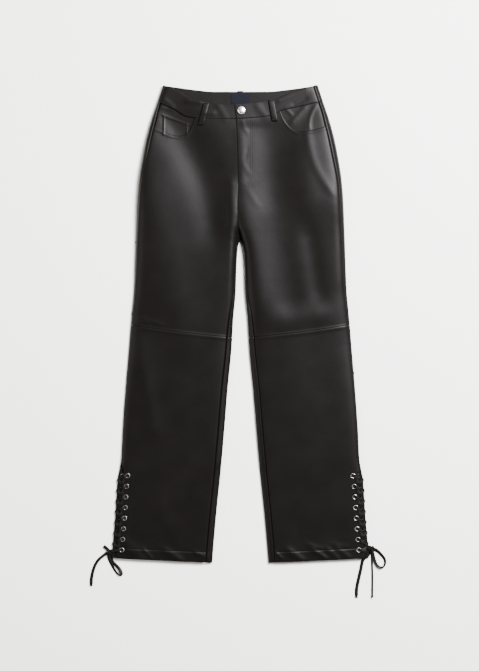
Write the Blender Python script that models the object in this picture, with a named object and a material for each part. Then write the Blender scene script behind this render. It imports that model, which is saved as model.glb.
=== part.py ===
"""Straight-legged faux leather trousers, laid flat, with a laced slit at the foot of each side seam.

Metres, +Z up. The garment lies on its back on the plane z = 0, with the waist towards +Y. Right and
left are the wearer's, so the right leg is at -X. Each side is worked out in its own coordinates: x is
the distance from the middle line, height is measured up from the lowest corner of the hem, and z up
from the ground. A side is a flattened tube whose section is known at any height, and each panel of
cloth is a stretch of that tube between two seams, given a wall.
"""

import math

import bmesh
import bpy
import numpy as np
from mathutils import Vector

RIGHT, LEFT = -1, 1
SIDES = {"right": RIGHT, "left": LEFT}

# ---------------------------------------------------------------- driving dimensions

LENGTH = 1.042  # lowest corner of the hem to the corners of the waist
WALL = 0.0010  # coated cloth
SEAM = 0.0003  # gap between two pieces that are sewn together
CROTCH = 0.702
SIDE_HEIGHT = 0.005  # of the outermost line of a side fold
FOLD_DEPTH = 0.006  # how far in from a side fold the underside starts to curl up
FOLD_RADIUS = 0.0026  # of a side fold's upper half
HEM_DEPTH, HEM_WALL = 0.020, 0.0018  # cloth turned up inside

WAISTBAND_WALL = 0.0021  # two layers
WAISTBAND_PROUD = 0.0004  # above the panels that it is sewn to
FLY_LAP, FLY_FOOT = 0.010, 0.800  # the left front laps over the right one from here up
WAISTBAND_LAP = 0.014
FLY_RISE, WAISTBAND_RISE = 0.0016, 0.0028

SLIT_TOP, SLIT_BLEND = 0.218, 0.018
BACK_FLAP_LIFT = 0.0034  # room for the lace that passes under the back flap
FRONT_FLAP_INSET = 0.0105  # from the back flap's edge to the front flap's
FLAP_EDGE = 0.05  # the angle at which the back flap ends
FRONT_EYELET_INSET = 0.0210
BACK_EYELET_INSET = 0.0095
EYELETS = 8
EYELET_FIRST, EYELET_PITCH = 0.0285, 0.0231
EYELET_RADIUS, EYELET_BORE, EYELET_HOLE = 0.0056, 0.0027, 0.0033
EYELET_FLANGE, EYELET_SIDES = 0.0005, 8

FACING_FOOT = 0.920  # pocket facings reach this far down behind the fronts
COIN_POCKET_FOOT = 0.928
BUTTON_X, BUTTON_HEIGHT, BUTTON_RADIUS = 0.0022, 0.9850, 0.0082
LOOP_WIDTH, LOOP_WALL, LOOP_ROOM = 0.0120, 0.0014, 0.0024
BACK_LOOP_FOOT, BACK_LOOP_TOP = 0.9780, 1.0305
LABEL_WIDTH, LABEL_WALL = 0.0420, 0.0005
LABEL_FOOT, LABEL_TOP = 1.0020, 1.0240
LACE_RADIUS = 0.0010
LACE_ON_GROUND = LACE_RADIUS + 0.0004  # the middle of a lace that lies on the ground
MID_LEG = 0.12  # a first guess at x
MOUTH_END = 0.186  # where a pocket's mouth meets the side seam
LAYER = WALL + 2 * SEAM  # from one layer of cloth down to the next


def table(names, *rows):
    """Named columns with a row for each section; the first column is what the others are read at."""
    return dict(zip(names.split(), np.array(rows).T, strict=True))


OUTER = table(
    "height edge",
    (0.000, 0.2815), (0.050, 0.2777), (0.094, 0.2739), (0.137, 0.2711), (0.181, 0.2681),
    (0.203, 0.2640), (0.225, 0.2600), (0.290, 0.2568), (0.377, 0.2507), (0.464, 0.2434),
    (0.508, 0.2399), (0.551, 0.2360), (0.595, 0.2321), (0.704, 0.2282), (0.791, 0.2249),
    (0.835, 0.2214), (0.878, 0.2149), (0.922, 0.2062), (0.966, 0.1943), (1.014, 0.1779),
    (1.042, 0.1685),
)
# The inner edge of a leg; the two meet at the crotch.
INNER = table(
    "height edge",
    (0.000, 0.0613), (0.028, 0.0593), (0.115, 0.0516), (0.203, 0.0425), (0.290, 0.0348),
    (0.377, 0.0279), (0.464, 0.0194), (0.530, 0.0155), (0.595, 0.0098), (0.640, 0.0085),
    (0.672, 0.0068), (0.692, 0.0048), (0.699, 0.0030), (0.702, 0.0000),
)
# The line where the fronts meet, which wanders to the wearer's right.
MIDDLE = table(
    "height x",
    (0.702, 0.0000), (0.730, -0.0040), (0.783, -0.0062), (0.824, -0.0048), (0.870, -0.0057),
    (0.964, -0.0087), (1.002, -0.0131),
)
# The top of the flattened tube, and how deeply it falls away at the middle line above the crotch.
CROWN = table(
    "height top valley",
    (0.000, 0.0105, 1.00), (0.200, 0.0115, 1.00), (0.400, 0.0135, 1.00), (0.520, 0.0160, 1.00),
    (0.640, 0.0195, 1.00), (0.702, 0.0210, 1.00), (0.740, 0.0225, 0.93), (0.780, 0.0235, 0.78),
    (0.820, 0.0235, 0.45), (0.860, 0.0230, 0.22), (0.920, 0.0205, 0.10), (0.965, 0.0175, 0.04),
    (1.005, 0.0145, 0.00), (1.042, 0.0120, 0.00),
)
# How far each seam lies in from the outline, rolled round onto the front.
ROLL = table(
    "height right_side left_side inseam",
    (0.000, 0.0012, 0.0012, 0.0145), (0.355, 0.0012, 0.0012, 0.0135), (0.488, 0.0012, 0.0015, 0.0120),
    (0.573, 0.0012, 0.0035, 0.0060), (0.620, 0.0012, 0.0055, 0.0015), (0.704, 0.0015, 0.0078, 0.0008),
    (0.824, 0.0040, 0.0100, 0.0006), (0.866, 0.0072, 0.0122, 0.0006), (0.905, 0.0105, 0.0136, 0.0006),
    (0.953, 0.0105, 0.0130, 0.0006), (0.990, 0.0070, 0.0105, 0.0006), (1.042, 0.0030, 0.0100, 0.0006),
)
# Edges and seams that run across the garment, as heights.
HEM = table("x height", (0.06, 0.0000), (0.17, 0.0050), (0.29, 0.0108))
KNEE = table("x height", (0.01, 0.4908), (0.05, 0.4945), (0.14, 0.5045), (0.24, 0.5190))
FRONT_SEAM = {
    RIGHT: table("x height", (0.00, 0.9675), (0.05, 0.9672), (0.10, 0.9700), (0.12, 0.9745),
                 (0.14, 0.9865), (0.165, 0.9980), (0.185, 1.0070)),
    LEFT: table("x height", (0.00, 0.9675), (0.05, 0.9715), (0.07, 0.9750), (0.09, 0.9860),
                (0.13, 0.9950), (0.15, 0.9998), (0.185, 1.0070)),
}
FRONT_EDGE = {
    RIGHT: table("x height", (0.00, 0.9970), (0.05, 1.0000), (0.085, 1.0055), (0.108, 1.0122),
                 (0.128, 1.0239), (0.15, 1.0340), (0.169, 1.0420)),
    LEFT: table("x height", (0.00, 1.0000), (0.02, 1.0015), (0.07, 1.0090), (0.093, 1.0176),
                (0.111, 1.0265), (0.14, 1.0345), (0.169, 1.0420)),
}
BACK_SEAM = table(
    "x height", (0.00, 0.9913), (0.06, 0.9915), (0.10, 0.9953), (0.14, 1.0000), (0.185, 1.0070)
)
BACK_EDGE = table(
    "x height", (0.00, 1.0283), (0.06, 1.0285), (0.10, 1.0323), (0.14, 1.0377), (0.169, 1.0420)
)
# The mouths of the front pockets: where this lies below the waistband's seam, the front ends on it.
POCKET_MOUTH = {
    RIGHT: table("x height", (0.097, 0.9800), (0.1005, 0.9670), (0.104, 0.9560), (0.108, 0.9468),
                 (0.119, 0.9357), (0.135, 0.9315), (0.156, 0.9357), (0.176, 0.9456), (0.200, 0.9540)),
    LEFT: table("x height", (0.085, 0.9920), (0.089, 0.9780), (0.096, 0.9640), (0.105, 0.9525),
                (0.114, 0.9450), (0.126, 0.9402), (0.152, 0.9424), (0.183, 0.9509), (0.200, 0.9560)),
}
COIN_POCKET_EDGE = table("x height", (0.1147, 0.9579), (0.1687, 0.9775))

# Soft ridges (up) and troughs (down) in the fronts, each along a line between two points.
FOLDS = table(
    "x height to_x to_height width rise",
    (-0.150, 0.910, -0.085, 0.780, 0.030, 0.0030),
    (-0.045, 0.900, -0.050, 0.700, 0.026, -0.0030),
    (-0.120, 0.700, -0.060, 0.520, 0.034, 0.0020),
    (0.045, 0.930, 0.060, 0.720, 0.026, 0.0030),
    (0.105, 0.930, 0.120, 0.760, 0.030, -0.0040),
    (0.185, 0.900, 0.195, 0.830, 0.016, 0.0030),
    (0.130, 0.740, 0.175, 0.560, 0.028, 0.0025),
    (0.165, 0.790, 0.215, 0.620, 0.022, -0.0020),
    (-0.205, 0.420, -0.170, 0.300, 0.026, 0.0015),
    (0.085, 0.560, 0.105, 0.400, 0.034, 0.0015),
)

# Shares of the way across a front from the side seam, closer together at the pocket's mouth.
FRONT_COLUMNS = np.array([0, 0.06, 0.13, 0.20, 0.26, 0.31, 0.35, 0.38, 0.41, 0.44, 0.48, 0.54, 0.62, 0.71,
                          0.80, 0.88, 0.95, 1])
FACING_COLUMNS = FRONT_COLUMNS[:12]
# Shares of the way round a back, closer together at the two folds.
BACK_COLUMNS = np.array([0, 0.037, 0.066, 0.095, 0.13, 0.18, 0.31, 0.50, 0.66, 0.747, 0.794, 0.826, 0.853,
                         0.881, 0.913, 0.954, 1])
SHIN_ROWS = np.array([0, 0.041, 0.048, 0.19, 0.335, 0.374, 0.384, 0.396, 0.41, 0.425, 0.6, 0.8, 1])
# 0 is the knee seam, 1 the crotch, 2 the top of a front and 3 the top of a back.
THIGH_ROWS = np.array([0, 0.3, 0.6, 0.82, 0.94, 1, 1.06, 1.16, 1.3, 1.45, 1.6, 1.74, 1.88, 2])
BACK_THIGH_ROWS = np.append(THIGH_ROWS, 3)
BAND_ROWS = np.array([0, 0.5, 1])


# ---------------------------------------------------------------- the tube's section


def smooth_step(t):
    t = np.clip(t, 0.0, 1.0)
    return t * t * (3 - 2 * t)


def curve(rows, column, at):
    """A smooth curve through one column that never swings past its rows: cubic pieces between them."""
    keys, values = next(iter(rows.values())), rows[column]
    steps = np.diff(keys)
    secants = np.diff(values) / steps
    before, after = secants[:-1], secants[1:]
    same_way = before * after > 0
    inner = np.where(same_way, 2 * before * after / np.where(same_way, before + after, 1), 0)
    slopes = np.concatenate([secants[:1], inner, secants[-1:]])
    at = np.clip(at, keys[0], keys[-1])
    i = np.clip(np.searchsorted(keys, at, side="right") - 1, 0, len(keys) - 2)
    t = (at - keys[i]) / steps[i]
    rest = 1 - t
    return (
        values[i] * (1 + 2 * t) * rest**2
        + slopes[i] * steps[i] * t * rest**2
        + values[i + 1] * (3 - 2 * t) * t**2
        - slopes[i + 1] * steps[i] * rest * t**2
    )


def slit(height):
    """1 where the side is slit, 0 above the slit."""
    return 1 - smooth_step((height - SLIT_TOP + SLIT_BLEND) / SLIT_BLEND)


def edges(side, front, height):
    """Outer and inner edge of one side of the tube, as distances from the middle line."""
    middle = side * curve(MIDDLE, "x", height) if front else 0.0
    return curve(OUTER, "edge", height), np.where(height < CROTCH, curve(INNER, "edge", height), middle)


def folds(x, height):
    """The sum of the soft ridges, each a bell across its line that fades beyond its ends."""
    total = 0.0
    for x0, height0, x1, height1, width, rise in zip(*FOLDS.values(), strict=True):
        length = math.hypot(x1 - x0, height1 - height0)
        along = ((x - x0) * (x1 - x0) + (height - height0) * (height1 - height0)) / length
        across = ((x - x0) * (height1 - height0) - (height - height0) * (x1 - x0)) / length
        beyond = np.maximum(np.maximum(-along, along - length), 0.0)
        total = total + rise * np.exp(-((across / width) ** 2) - (beyond / (1.5 * width)) ** 2)
    return total


def lap(height, foot, fly, waistband):
    """Nothing below the foot of the fly, one value along it and another at the waistband."""
    waistband_starts, blend, foot_blend = 0.945, 0.020, 0.025
    along = fly + (waistband - fly) * smooth_step((height - waistband_starts) / blend)
    return along * smooth_step((height - foot) / foot_blend)


def front_z(side, x, height):
    """The front's outer face: an arch between the side folds, with its ridges and the lap at the fly."""
    outer, inner = edges(side, True, height)
    across = np.clip((2 * x - outer - inner) / (outer - inner), -1, 1)
    rise = curve(CROWN, "top", height) - SIDE_HEIGHT
    power = np.maximum(2.2, FOLD_RADIUS * (outer - inner) / rise**2)  # gives the folds their radius
    to_side = np.sqrt(1 - np.maximum(across, 0) ** power)
    to_middle = np.sqrt(1 - curve(CROWN, "valley", height) * np.maximum(-across, 0) ** power)
    z = SIDE_HEIGHT + rise * to_side * to_middle + (1 - across**4) * folds(side * x, height)
    if side == LEFT:
        raised = 1 - smooth_step((x - inner) / 0.014 - 1.1)
        z = z + lap(height, FLY_FOOT, FLY_RISE, WAISTBAND_RISE) * raised
    return z


def back_z(x, height):
    """The back's outer face: flat on the ground, curled up at the folds, lifted by lace and belt loop."""
    flap_width, flap_blend = 0.042, 0.024
    loop_reach, loop_blend, loop_starts = 0.030, 0.018, 0.938
    band_starts, band_blend = 0.975, 0.010
    outer, inner = edges(LEFT, False, height)
    to_side = np.clip((x - outer) / FOLD_DEPTH + 1, 0, 1)
    to_inner = np.clip((inner - x) / FOLD_DEPTH + 1, 0, 1)
    fade = np.clip(1 - (height - CROTCH) / 0.030, 0, 1) ** 2
    round_fold = 1 - np.sqrt(1 - to_inner**2)
    inner_fold = np.where(height < CROTCH - 0.010, round_fold, to_inner**2 * fade)
    z = SIDE_HEIGHT * (inner_fold + (1 - np.sqrt(1 - to_side**2)) * (1 - slit(height)))
    z = z + BACK_FLAP_LIFT * smooth_step((x - outer + flap_width) / flap_blend) * slit(height)
    z = z + WAISTBAND_PROUD * smooth_step((height - band_starts) / band_blend)
    near_loop = smooth_step((loop_reach - x) / loop_blend)
    near_loop = near_loop * smooth_step((height - loop_starts) / loop_blend)
    return z + (SEAM + LOOP_WALL) * near_loop


def tube(side, front, angle, height):
    """A point of the outer face. Angle 0 is the outer fold, 0 to pi the front, 0 to -pi the back."""
    outer, inner = edges(side, front, height)
    x = (outer + inner) / 2 + (outer - inner) / 2 * np.cos(angle)
    if front and side == RIGHT:
        run_on = lap(height, FLY_FOOT + 0.022, FLY_LAP, WAISTBAND_LAP)
        near_middle = 2.4
        x = x - run_on * smooth_step((angle - near_middle) / (math.pi - near_middle))
    rolled_over = front_z(side, x, height) - (SIDE_HEIGHT - BACK_FLAP_LIFT) * slit(height) * (not front)
    z = np.where(np.sin(angle) > 0, rolled_over, back_z(x, height))
    return x, z


def angle_at(side, front, x, height):
    outer, inner = edges(side, front, height)
    return np.arccos(np.clip((2 * x - outer - inner) / (outer - inner), -1, 1))


def side_roll(side, height):
    """How far the middle of the side seam lies in from the outline."""
    return curve(ROLL, "right_side" if side == RIGHT else "left_side", height)


# ---------------------------------------------------------------- panels


def front_turns(side, height):
    """Angles of the two seams of a front panel."""
    outer, inner = edges(side, True, height)
    roll = side_roll(side, height)
    inset = roll + (FRONT_FLAP_INSET - roll) * slit(height)
    start = angle_at(side, True, outer - inset - SEAM / 2, height)
    to_seam = np.where(height < CROTCH, curve(ROLL, "inseam", height), 0.0)
    return start, angle_at(side, True, inner + to_seam + SEAM / 2, height)


def back_turns(side, height):
    """Angles of the two seams of a back panel, which goes right round the leg's two folds."""
    outer, inner = edges(side, False, height)
    start = angle_at(side, False, outer - side_roll(side, height) + SEAM / 2, height)
    start = start * (1 - slit(height)) - FLAP_EDGE * slit(height)
    inseam = angle_at(side, False, inner + curve(ROLL, "inseam", height) - SEAM / 2, height)
    at_middle = angle_at(side, False, inner + SEAM / 2, height)
    end = np.where(height < CROTCH, inseam - 2 * math.pi, -at_middle)
    return start, end


def point_on(side, front, turns, row_height, u, v):
    """The tube's point at share u of the way between two seams, on the row v of a family of rows."""
    height = row_height(MID_LEG + 0 * u, v)
    for _ in range(8):
        start, end = turns(side, height)
        angle = start + (end - start) * u
        x, z = tube(side, front, angle, height)
        height = row_height(x, v)
    return np.stack([side * x, height - LENGTH / 2, z], axis=-1)


def shin_rows(x, v):
    foot = curve(HEM, "height", x)
    return foot + (curve(KNEE, "height", x) - SEAM / 2 - foot) * v


def to_crotch(x, v):
    foot = curve(KNEE, "height", x) + SEAM / 2
    return foot + (CROTCH - foot) * np.minimum(v, 1)


def front_thigh_rows(side, x, v):
    return to_crotch(x, v) + (front_top(side, x) - SEAM / 2 - CROTCH) * np.maximum(v - 1, 0)


def back_thigh_rows(side, x, v):
    """Level with the front's rows along the side seam, with one more row above the pocket's mouth."""
    mouth_end = front_top(side, np.maximum(x, MOUTH_END)) - SEAM / 2
    top = curve(BACK_SEAM, "height", x) - SEAM / 2
    to_mouth = (mouth_end - CROTCH) * np.clip(v - 1, 0, 1)
    return to_crotch(x, v) + to_mouth + (top - mouth_end) * np.maximum(v - 2, 0)


def front_top(side, x):
    """Where a front ends: at the waistband's seam or the pocket's mouth, whichever is lower."""
    return np.minimum(curve(FRONT_SEAM[side], "height", x), curve(POCKET_MOUTH[side], "height", x))


def between(foot, top):
    """Rows from one height curve to another."""
    return lambda x, v: foot(x) + (top(x) - foot(x)) * v


def wall_grids(surface, columns, rows, outwards, proud=0.0, thickness=WALL):
    """Outer and inner face of a wall over a grid of a surface; thickness may depend on the points."""
    u, v = np.meshgrid(columns, rows)
    nudge = 1e-4
    point = surface(u, v)
    along = surface(u + nudge, v) - surface(u - nudge, v)
    up = surface(u, v + nudge) - surface(u, v - nudge)
    normal = np.cross(along, up) * outwards
    normal /= np.linalg.norm(normal, axis=-1, keepdims=True)
    deep = thickness(point)[..., None] if callable(thickness) else thickness
    return point + normal * proud, point + normal * (proud - deep)


def new_material(name, colour, roughness, metallic=0.0):
    material = bpy.data.materials.new(name)
    material.use_nodes = True
    shader = material.node_tree.nodes["Principled BSDF"]
    shader.inputs["Base Color"].default_value = (*colour, 1)
    shader.inputs["Roughness"].default_value = roughness
    shader.inputs["Metallic"].default_value = metallic
    return material


def add_object(name, data, material):
    node = bpy.data.objects.new(name, data)
    node.data.materials.append(material)
    bpy.context.scene.collection.objects.link(node)
    return node


def add_mesh(name, vertices, faces, material):
    mesh = bpy.data.meshes.new(name)
    mesh.from_pydata([tuple(map(float, vertex)) for vertex in vertices], [], faces)
    form = bmesh.new()
    form.from_mesh(mesh)
    bmesh.ops.recalc_face_normals(form, faces=form.faces)
    form.to_mesh(mesh)
    form.free()
    mesh.shade_smooth()
    mesh.set_sharp_from_angle(angle=math.radians(50))
    return add_object(name, mesh, material)


def add_wall(name, outer, inner, material):
    """A closed solid between two grids of points."""
    rows, columns = outer.shape[:2]
    number = np.arange(rows * columns).reshape(rows, columns)
    back = number + rows * columns
    faces = []
    for grid in (number, back):
        corners = (grid[:-1, :-1], grid[:-1, 1:], grid[1:, 1:], grid[1:, :-1])
        faces += np.stack(corners, axis=-1).reshape(-1, 4).tolist()
    rim = np.concatenate([number[0, :-1], number[:-1, -1], number[-1, :0:-1], number[:0:-1, 0]])
    after = np.roll(rim, -1)
    faces += np.stack([rim, after, after + rows * columns, rim + rows * columns], axis=-1).tolist()
    vertices = np.concatenate([outer.reshape(-1, 3), inner.reshape(-1, 3)])
    return add_mesh(name, vertices, faces, material)


def hem_wall(point):
    """Thicker where the cloth is turned up at the hem, away from the tight fold of the inseam."""
    x, height = np.abs(point[..., 0]), point[..., 1] + LENGTH / 2
    above = height - curve(HEM, "height", x)
    from_fold = x - curve(INNER, "edge", height)
    fold_width, blend = 0.012, 0.003
    turned_up = (1 - smooth_step((above - HEM_DEPTH) / blend)) * smooth_step(from_fold / fold_width - 0.3)
    return WALL + (HEM_WALL - WALL) * turned_up


def front_surface(side, row_height):
    return lambda u, v: point_on(side, True, front_turns, row_height, u, v)


def back_surface(side, row_height):
    return lambda u, v: point_on(side, False, back_turns, row_height, u, v)


for existing in list(bpy.data.objects):
    bpy.data.objects.remove(existing)

leather = {name: new_material(name, colour, roughness) for name, colour, roughness in (
    ("front leather", (0.020, 0.019, 0.020), 0.42),
    ("back leather", (0.018, 0.017, 0.018), 0.45),
    ("waistband leather", (0.022, 0.021, 0.022), 0.42),
    ("pocket leather", (0.024, 0.023, 0.024), 0.42),
    ("belt loop leather", (0.020, 0.019, 0.020), 0.42),
    ("lace leather", (0.016, 0.015, 0.016), 0.50),
)}
label_cloth = new_material("label cloth", (0.012, 0.015, 0.035), 0.85)
button_metal = new_material("button metal", (0.82, 0.81, 0.79), 0.22, metallic=1.0)
eyelet_metal = new_material("eyelet metal", (0.62, 0.62, 0.62), 0.28, metallic=1.0)


def eyelet_place(side, front, row):
    """Own coordinates of an eyelet's centre on the outer face; row 0 is the lowest."""
    height = EYELET_FIRST + EYELET_PITCH * row
    x = curve(OUTER, "edge", height) - (FRONT_EYELET_INSET if front else BACK_EYELET_INSET)
    return np.array([x, height, front_z(side, x, height) if front else back_z(x, height)])


def to_world(side, own):
    x, height, z = own
    return Vector((side * float(x), float(height) - LENGTH / 2, float(z)))


def cut_eyelet_holes(panel, side, front):
    """Holes through a panel, one for each of its eyelets."""
    form = bmesh.new()
    reach = 0.008
    size = {"segments": EYELET_SIDES, "radius1": EYELET_HOLE, "radius2": EYELET_HOLE, "depth": reach}
    for row in range(EYELETS):
        made = bmesh.ops.create_cone(form, cap_ends=True, **size)
        bmesh.ops.translate(form, verts=made["verts"], vec=to_world(side, eyelet_place(side, front, row)))
    mesh = bpy.data.meshes.new(panel.name + "_holes")
    form.to_mesh(mesh)
    form.free()
    cutter = bpy.data.objects.new(mesh.name, mesh)
    cutter.hide_render = True
    cutter.display_type = "WIRE"
    bpy.context.scene.collection.objects.link(cutter)
    boolean = panel.modifiers.new("eyelet holes", "BOOLEAN")
    boolean.operation = "DIFFERENCE"
    boolean.object = cutter


# ---------------------------------------------------------------- fronts, backs and waistband

for word, side in SIDES.items():
    thigh = front_surface(side, lambda x, v: front_thigh_rows(side, x, v))
    grids = wall_grids(thigh, FRONT_COLUMNS, THIGH_ROWS, -side)
    add_wall(f"front_thigh_{word}", *grids, leather["front leather"])
    shin = wall_grids(front_surface(side, shin_rows), FRONT_COLUMNS, SHIN_ROWS, -side, thickness=hem_wall)
    cut_eyelet_holes(add_wall(f"front_shin_{word}", *shin, leather["front leather"]), side, True)

    thigh = back_surface(side, lambda x, v: back_thigh_rows(side, x, v))
    grids = wall_grids(thigh, BACK_COLUMNS, BACK_THIGH_ROWS, side)
    add_wall(f"back_thigh_{word}", *grids, leather["back leather"])
    shin = wall_grids(back_surface(side, shin_rows), BACK_COLUMNS, SHIN_ROWS, side, thickness=hem_wall)
    cut_eyelet_holes(add_wall(f"back_shin_{word}", *shin, leather["back leather"]), side, False)

    band = front_surface(side, between(
        lambda x: curve(FRONT_SEAM[side], "height", x) + SEAM / 2,
        lambda x: curve(FRONT_EDGE[side], "height", x),
    ))
    grids = wall_grids(band, FRONT_COLUMNS, BAND_ROWS, -side, WAISTBAND_PROUD, WAISTBAND_WALL)
    add_wall(f"waistband_{word}", *grids, leather["waistband leather"])

back_band = between(
    lambda x: curve(BACK_SEAM, "height", x) + SEAM / 2,
    lambda x: curve(BACK_EDGE, "height", x),
)
halves = []
for side in (RIGHT, LEFT):
    band = back_surface(side, back_band)
    halves.append(wall_grids(band, BACK_COLUMNS, BAND_ROWS, side, WAISTBAND_PROUD, WAISTBAND_WALL))
whole_band = [np.concatenate([right, left[:, ::-1]], axis=1) for right, left in zip(*halves, strict=True)]
add_wall("waistband_back", *whole_band, leather["waistband leather"])

# ---------------------------------------------------------------- pockets

FACING_DEPTH = {RIGHT: 2 * LAYER, LEFT: LAYER}  # the coin pocket lies between the right one and the front

for word, side in SIDES.items():
    facing = front_surface(side, between(
        lambda x: FACING_FOOT + 0 * x,
        lambda x: curve(FRONT_SEAM[side], "height", x) - SEAM / 2,
    ))
    grids = wall_grids(facing, FACING_COLUMNS, np.linspace(0, 1, 6), -side, proud=-FACING_DEPTH[side])
    add_wall(f"pocket_facing_{word}", *grids, leather["pocket leather"])


def coin_turns(side, height):
    start, end = COIN_POCKET_EDGE["x"][1], COIN_POCKET_EDGE["x"][0]
    return angle_at(side, True, start, height), angle_at(side, True, end, height)


def coin_pocket_surface(u, v):
    rows = between(lambda x: COIN_POCKET_FOOT + 0 * x, lambda x: curve(COIN_POCKET_EDGE, "height", x))
    return point_on(RIGHT, True, coin_turns, rows, u, v)


grids = wall_grids(coin_pocket_surface, np.linspace(0, 1, 6), np.linspace(0, 1, 5), -RIGHT, -LAYER)
add_wall("coin_pocket", *grids, leather["pocket leather"])

# ---------------------------------------------------------------- belt loops and label

FRONT_LOOPS = {
    RIGHT: {"top": (0.0741, 1.0023), "foot": (0.0861, 0.9537)},
    LEFT: {"top": (0.0665, 1.0085), "foot": (0.0750, 0.9616)},
}


def loop_surface(side, ends, lift):
    """A strip on the front along a line; lift raises it off the waistband between its ends."""

    def surface(u, v):
        x = ends["foot"][0] + (ends["top"][0] - ends["foot"][0]) * v + (0.5 - u) * LOOP_WIDTH
        height = ends["foot"][1] + (ends["top"][1] - ends["foot"][1]) * v
        z = front_z(side, x, height) + WAISTBAND_PROUD + SEAM
        z = z + lift * np.sqrt(np.maximum(1 - (2 * v - 1) ** 4, 0))
        return np.stack([side * x, height - LENGTH / 2, z], axis=-1)

    return surface


LOOP_ROWS = np.array([0, 0.04, 0.12, 0.25, 0.4, 0.6, 0.75, 0.88, 0.96, 1])
for word, side in SIDES.items():
    under = loop_surface(side, FRONT_LOOPS[side], LOOP_ROOM)
    grid = np.meshgrid(np.linspace(0, 1, 4), LOOP_ROWS)
    lower = under(*grid)
    upper = lower + np.array([0, 0, LOOP_WALL])
    add_wall(f"belt_loop_front_{word}", upper, lower, leather["belt loop leather"])


def upright_strip(width, columns, foot, top, rows, z_of):
    """Grid of a strip about the middle line, at the z that a function gives."""
    x, height = np.meshgrid(np.linspace(-width / 2, width / 2, columns), np.linspace(foot, top, rows))
    return np.stack([x, height - LENGTH / 2, z_of(x, height)], axis=-1)


lower = upright_strip(LOOP_WIDTH, 3, BACK_LOOP_FOOT, BACK_LOOP_TOP, 4, lambda x, height: 0 * x)
add_wall("belt_loop_back", lower, lower + np.array([0, 0, LOOP_WALL]), leather["belt loop leather"])


def on_back_waistband(x, height):
    return back_z(np.abs(x), height) + WAISTBAND_WALL - WAISTBAND_PROUD + SEAM


lower = upright_strip(LABEL_WIDTH, 7, LABEL_FOOT, LABEL_TOP, 3, on_back_waistband)
add_wall("label", lower + np.array([0, 0, LABEL_WALL]), lower, label_cloth)

# ---------------------------------------------------------------- button and eyelets


def add_turned(name, profile, sides, place, axis, material, closed_at_axis):
    """A profile of (radius, z) turned about the z axis, then stood on a place along another axis."""
    profile = np.array(profile)
    turn = np.linspace(0, 2 * math.pi, sides, endpoint=False)
    ring = profile[1:-1] if closed_at_axis else profile
    points = np.stack([
        np.outer(ring[:, 0], np.cos(turn)),
        np.outer(ring[:, 0], np.sin(turn)),
        np.outer(ring[:, 1], np.ones(sides)),
    ], axis=-1)
    count = len(ring)
    number = np.arange(count * sides).reshape(count, sides)
    low = number if closed_at_axis else np.concatenate([number, number[:1]])
    faces = [
        (int(a), int(b), int(c), int(d))
        for first, second in zip(low[:-1], low[1:])
        for a, b, c, d in zip(first, np.roll(first, -1), np.roll(second, -1), second, strict=True)
    ]
    vertices = points.reshape(-1, 3)
    if closed_at_axis:
        faces += [tuple(map(int, number[0])), tuple(map(int, number[-1]))]
    node = add_mesh(name, vertices, faces, material)
    node.location = place
    node.rotation_mode = "QUATERNION"
    node.rotation_quaternion = Vector((0, 0, 1)).rotation_difference(axis)
    return node


BUTTON_PROFILE = (
    (0, 0.0004), (0.0030, 0.0004), (0.0030, 0.0014), (0.0076, 0.0016), (0.0082, 0.0023),
    (0.0076, 0.0031), (0.0050, 0.0038), (0.0022, 0.0041), (0, 0.0041),
)
button_z = float(front_z(LEFT, BUTTON_X, BUTTON_HEIGHT)) + WAISTBAND_PROUD
button_place = to_world(LEFT, (BUTTON_X, BUTTON_HEIGHT, button_z))
add_turned("button", BUTTON_PROFILE, 16, button_place, Vector((0, 0, 1)), button_metal, True)

EYELET_PROFILE = (
    (EYELET_BORE, SEAM), (EYELET_RADIUS, SEAM), (EYELET_RADIUS - 0.0004, SEAM + EYELET_FLANGE),
    (EYELET_BORE, SEAM + EYELET_FLANGE),
)


def face_normal(side, front, own):
    """The outward direction of the cloth at an eyelet."""
    x, height, _ = own
    reach = 0.004
    if front:
        slope_x = (front_z(side, x + reach, height) - front_z(side, x - reach, height)) / (2 * reach)
        slope_y = (front_z(side, x, height + reach) - front_z(side, x, height - reach)) / (2 * reach)
        return Vector((-side * float(slope_x), -float(slope_y), 1)).normalized()
    return Vector((0, 0, -1))


for word, side in SIDES.items():
    for face, front in (("front", True), ("back", False)):
        for row in range(EYELETS):
            own = eyelet_place(side, front, row)
            normal = face_normal(side, front, own)
            name = f"eyelet_{face}_{word}_{row + 1}"
            place = to_world(side, own)
            add_turned(name, EYELET_PROFILE, EYELET_SIDES, place, normal, eyelet_metal, False)

# ---------------------------------------------------------------- laces


def smooth_route(points, per_step):
    """Points of a Catmull-Rom curve through the given ones."""
    points = np.array(points)
    padded = np.concatenate([2 * points[:1] - points[1:2], points, 2 * points[-1:] - points[-2:-1]])
    route = []
    for i in range(len(points) - 1):
        a, b, c, d = padded[i : i + 4]
        for t in np.arange(per_step) / per_step:
            bend = (2 * a - 5 * b + 4 * c - d) * t**2 + (3 * b - a - 3 * c + d) * t**3
            route.append(0.5 * (2 * b + (c - a) * t + bend))
    return np.array([*route, points[-1]])


def add_cord(name, side, own_points, radii=None):
    """A round cord along points in own coordinates."""
    data = bpy.data.curves.new(name, "CURVE")
    data.dimensions = "3D"
    data.bevel_depth = LACE_RADIUS
    data.bevel_resolution = 2
    data.use_fill_caps = True
    spline = data.splines.new("POLY")
    spline.points.add(len(own_points) - 1)
    for i, own in enumerate(own_points):
        spline.points[i].co = (*to_world(side, own), 1)
        spline.points[i].radius = 1 if radii is None else radii[i]
    return add_object(name, data, leather["lace leather"])


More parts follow.
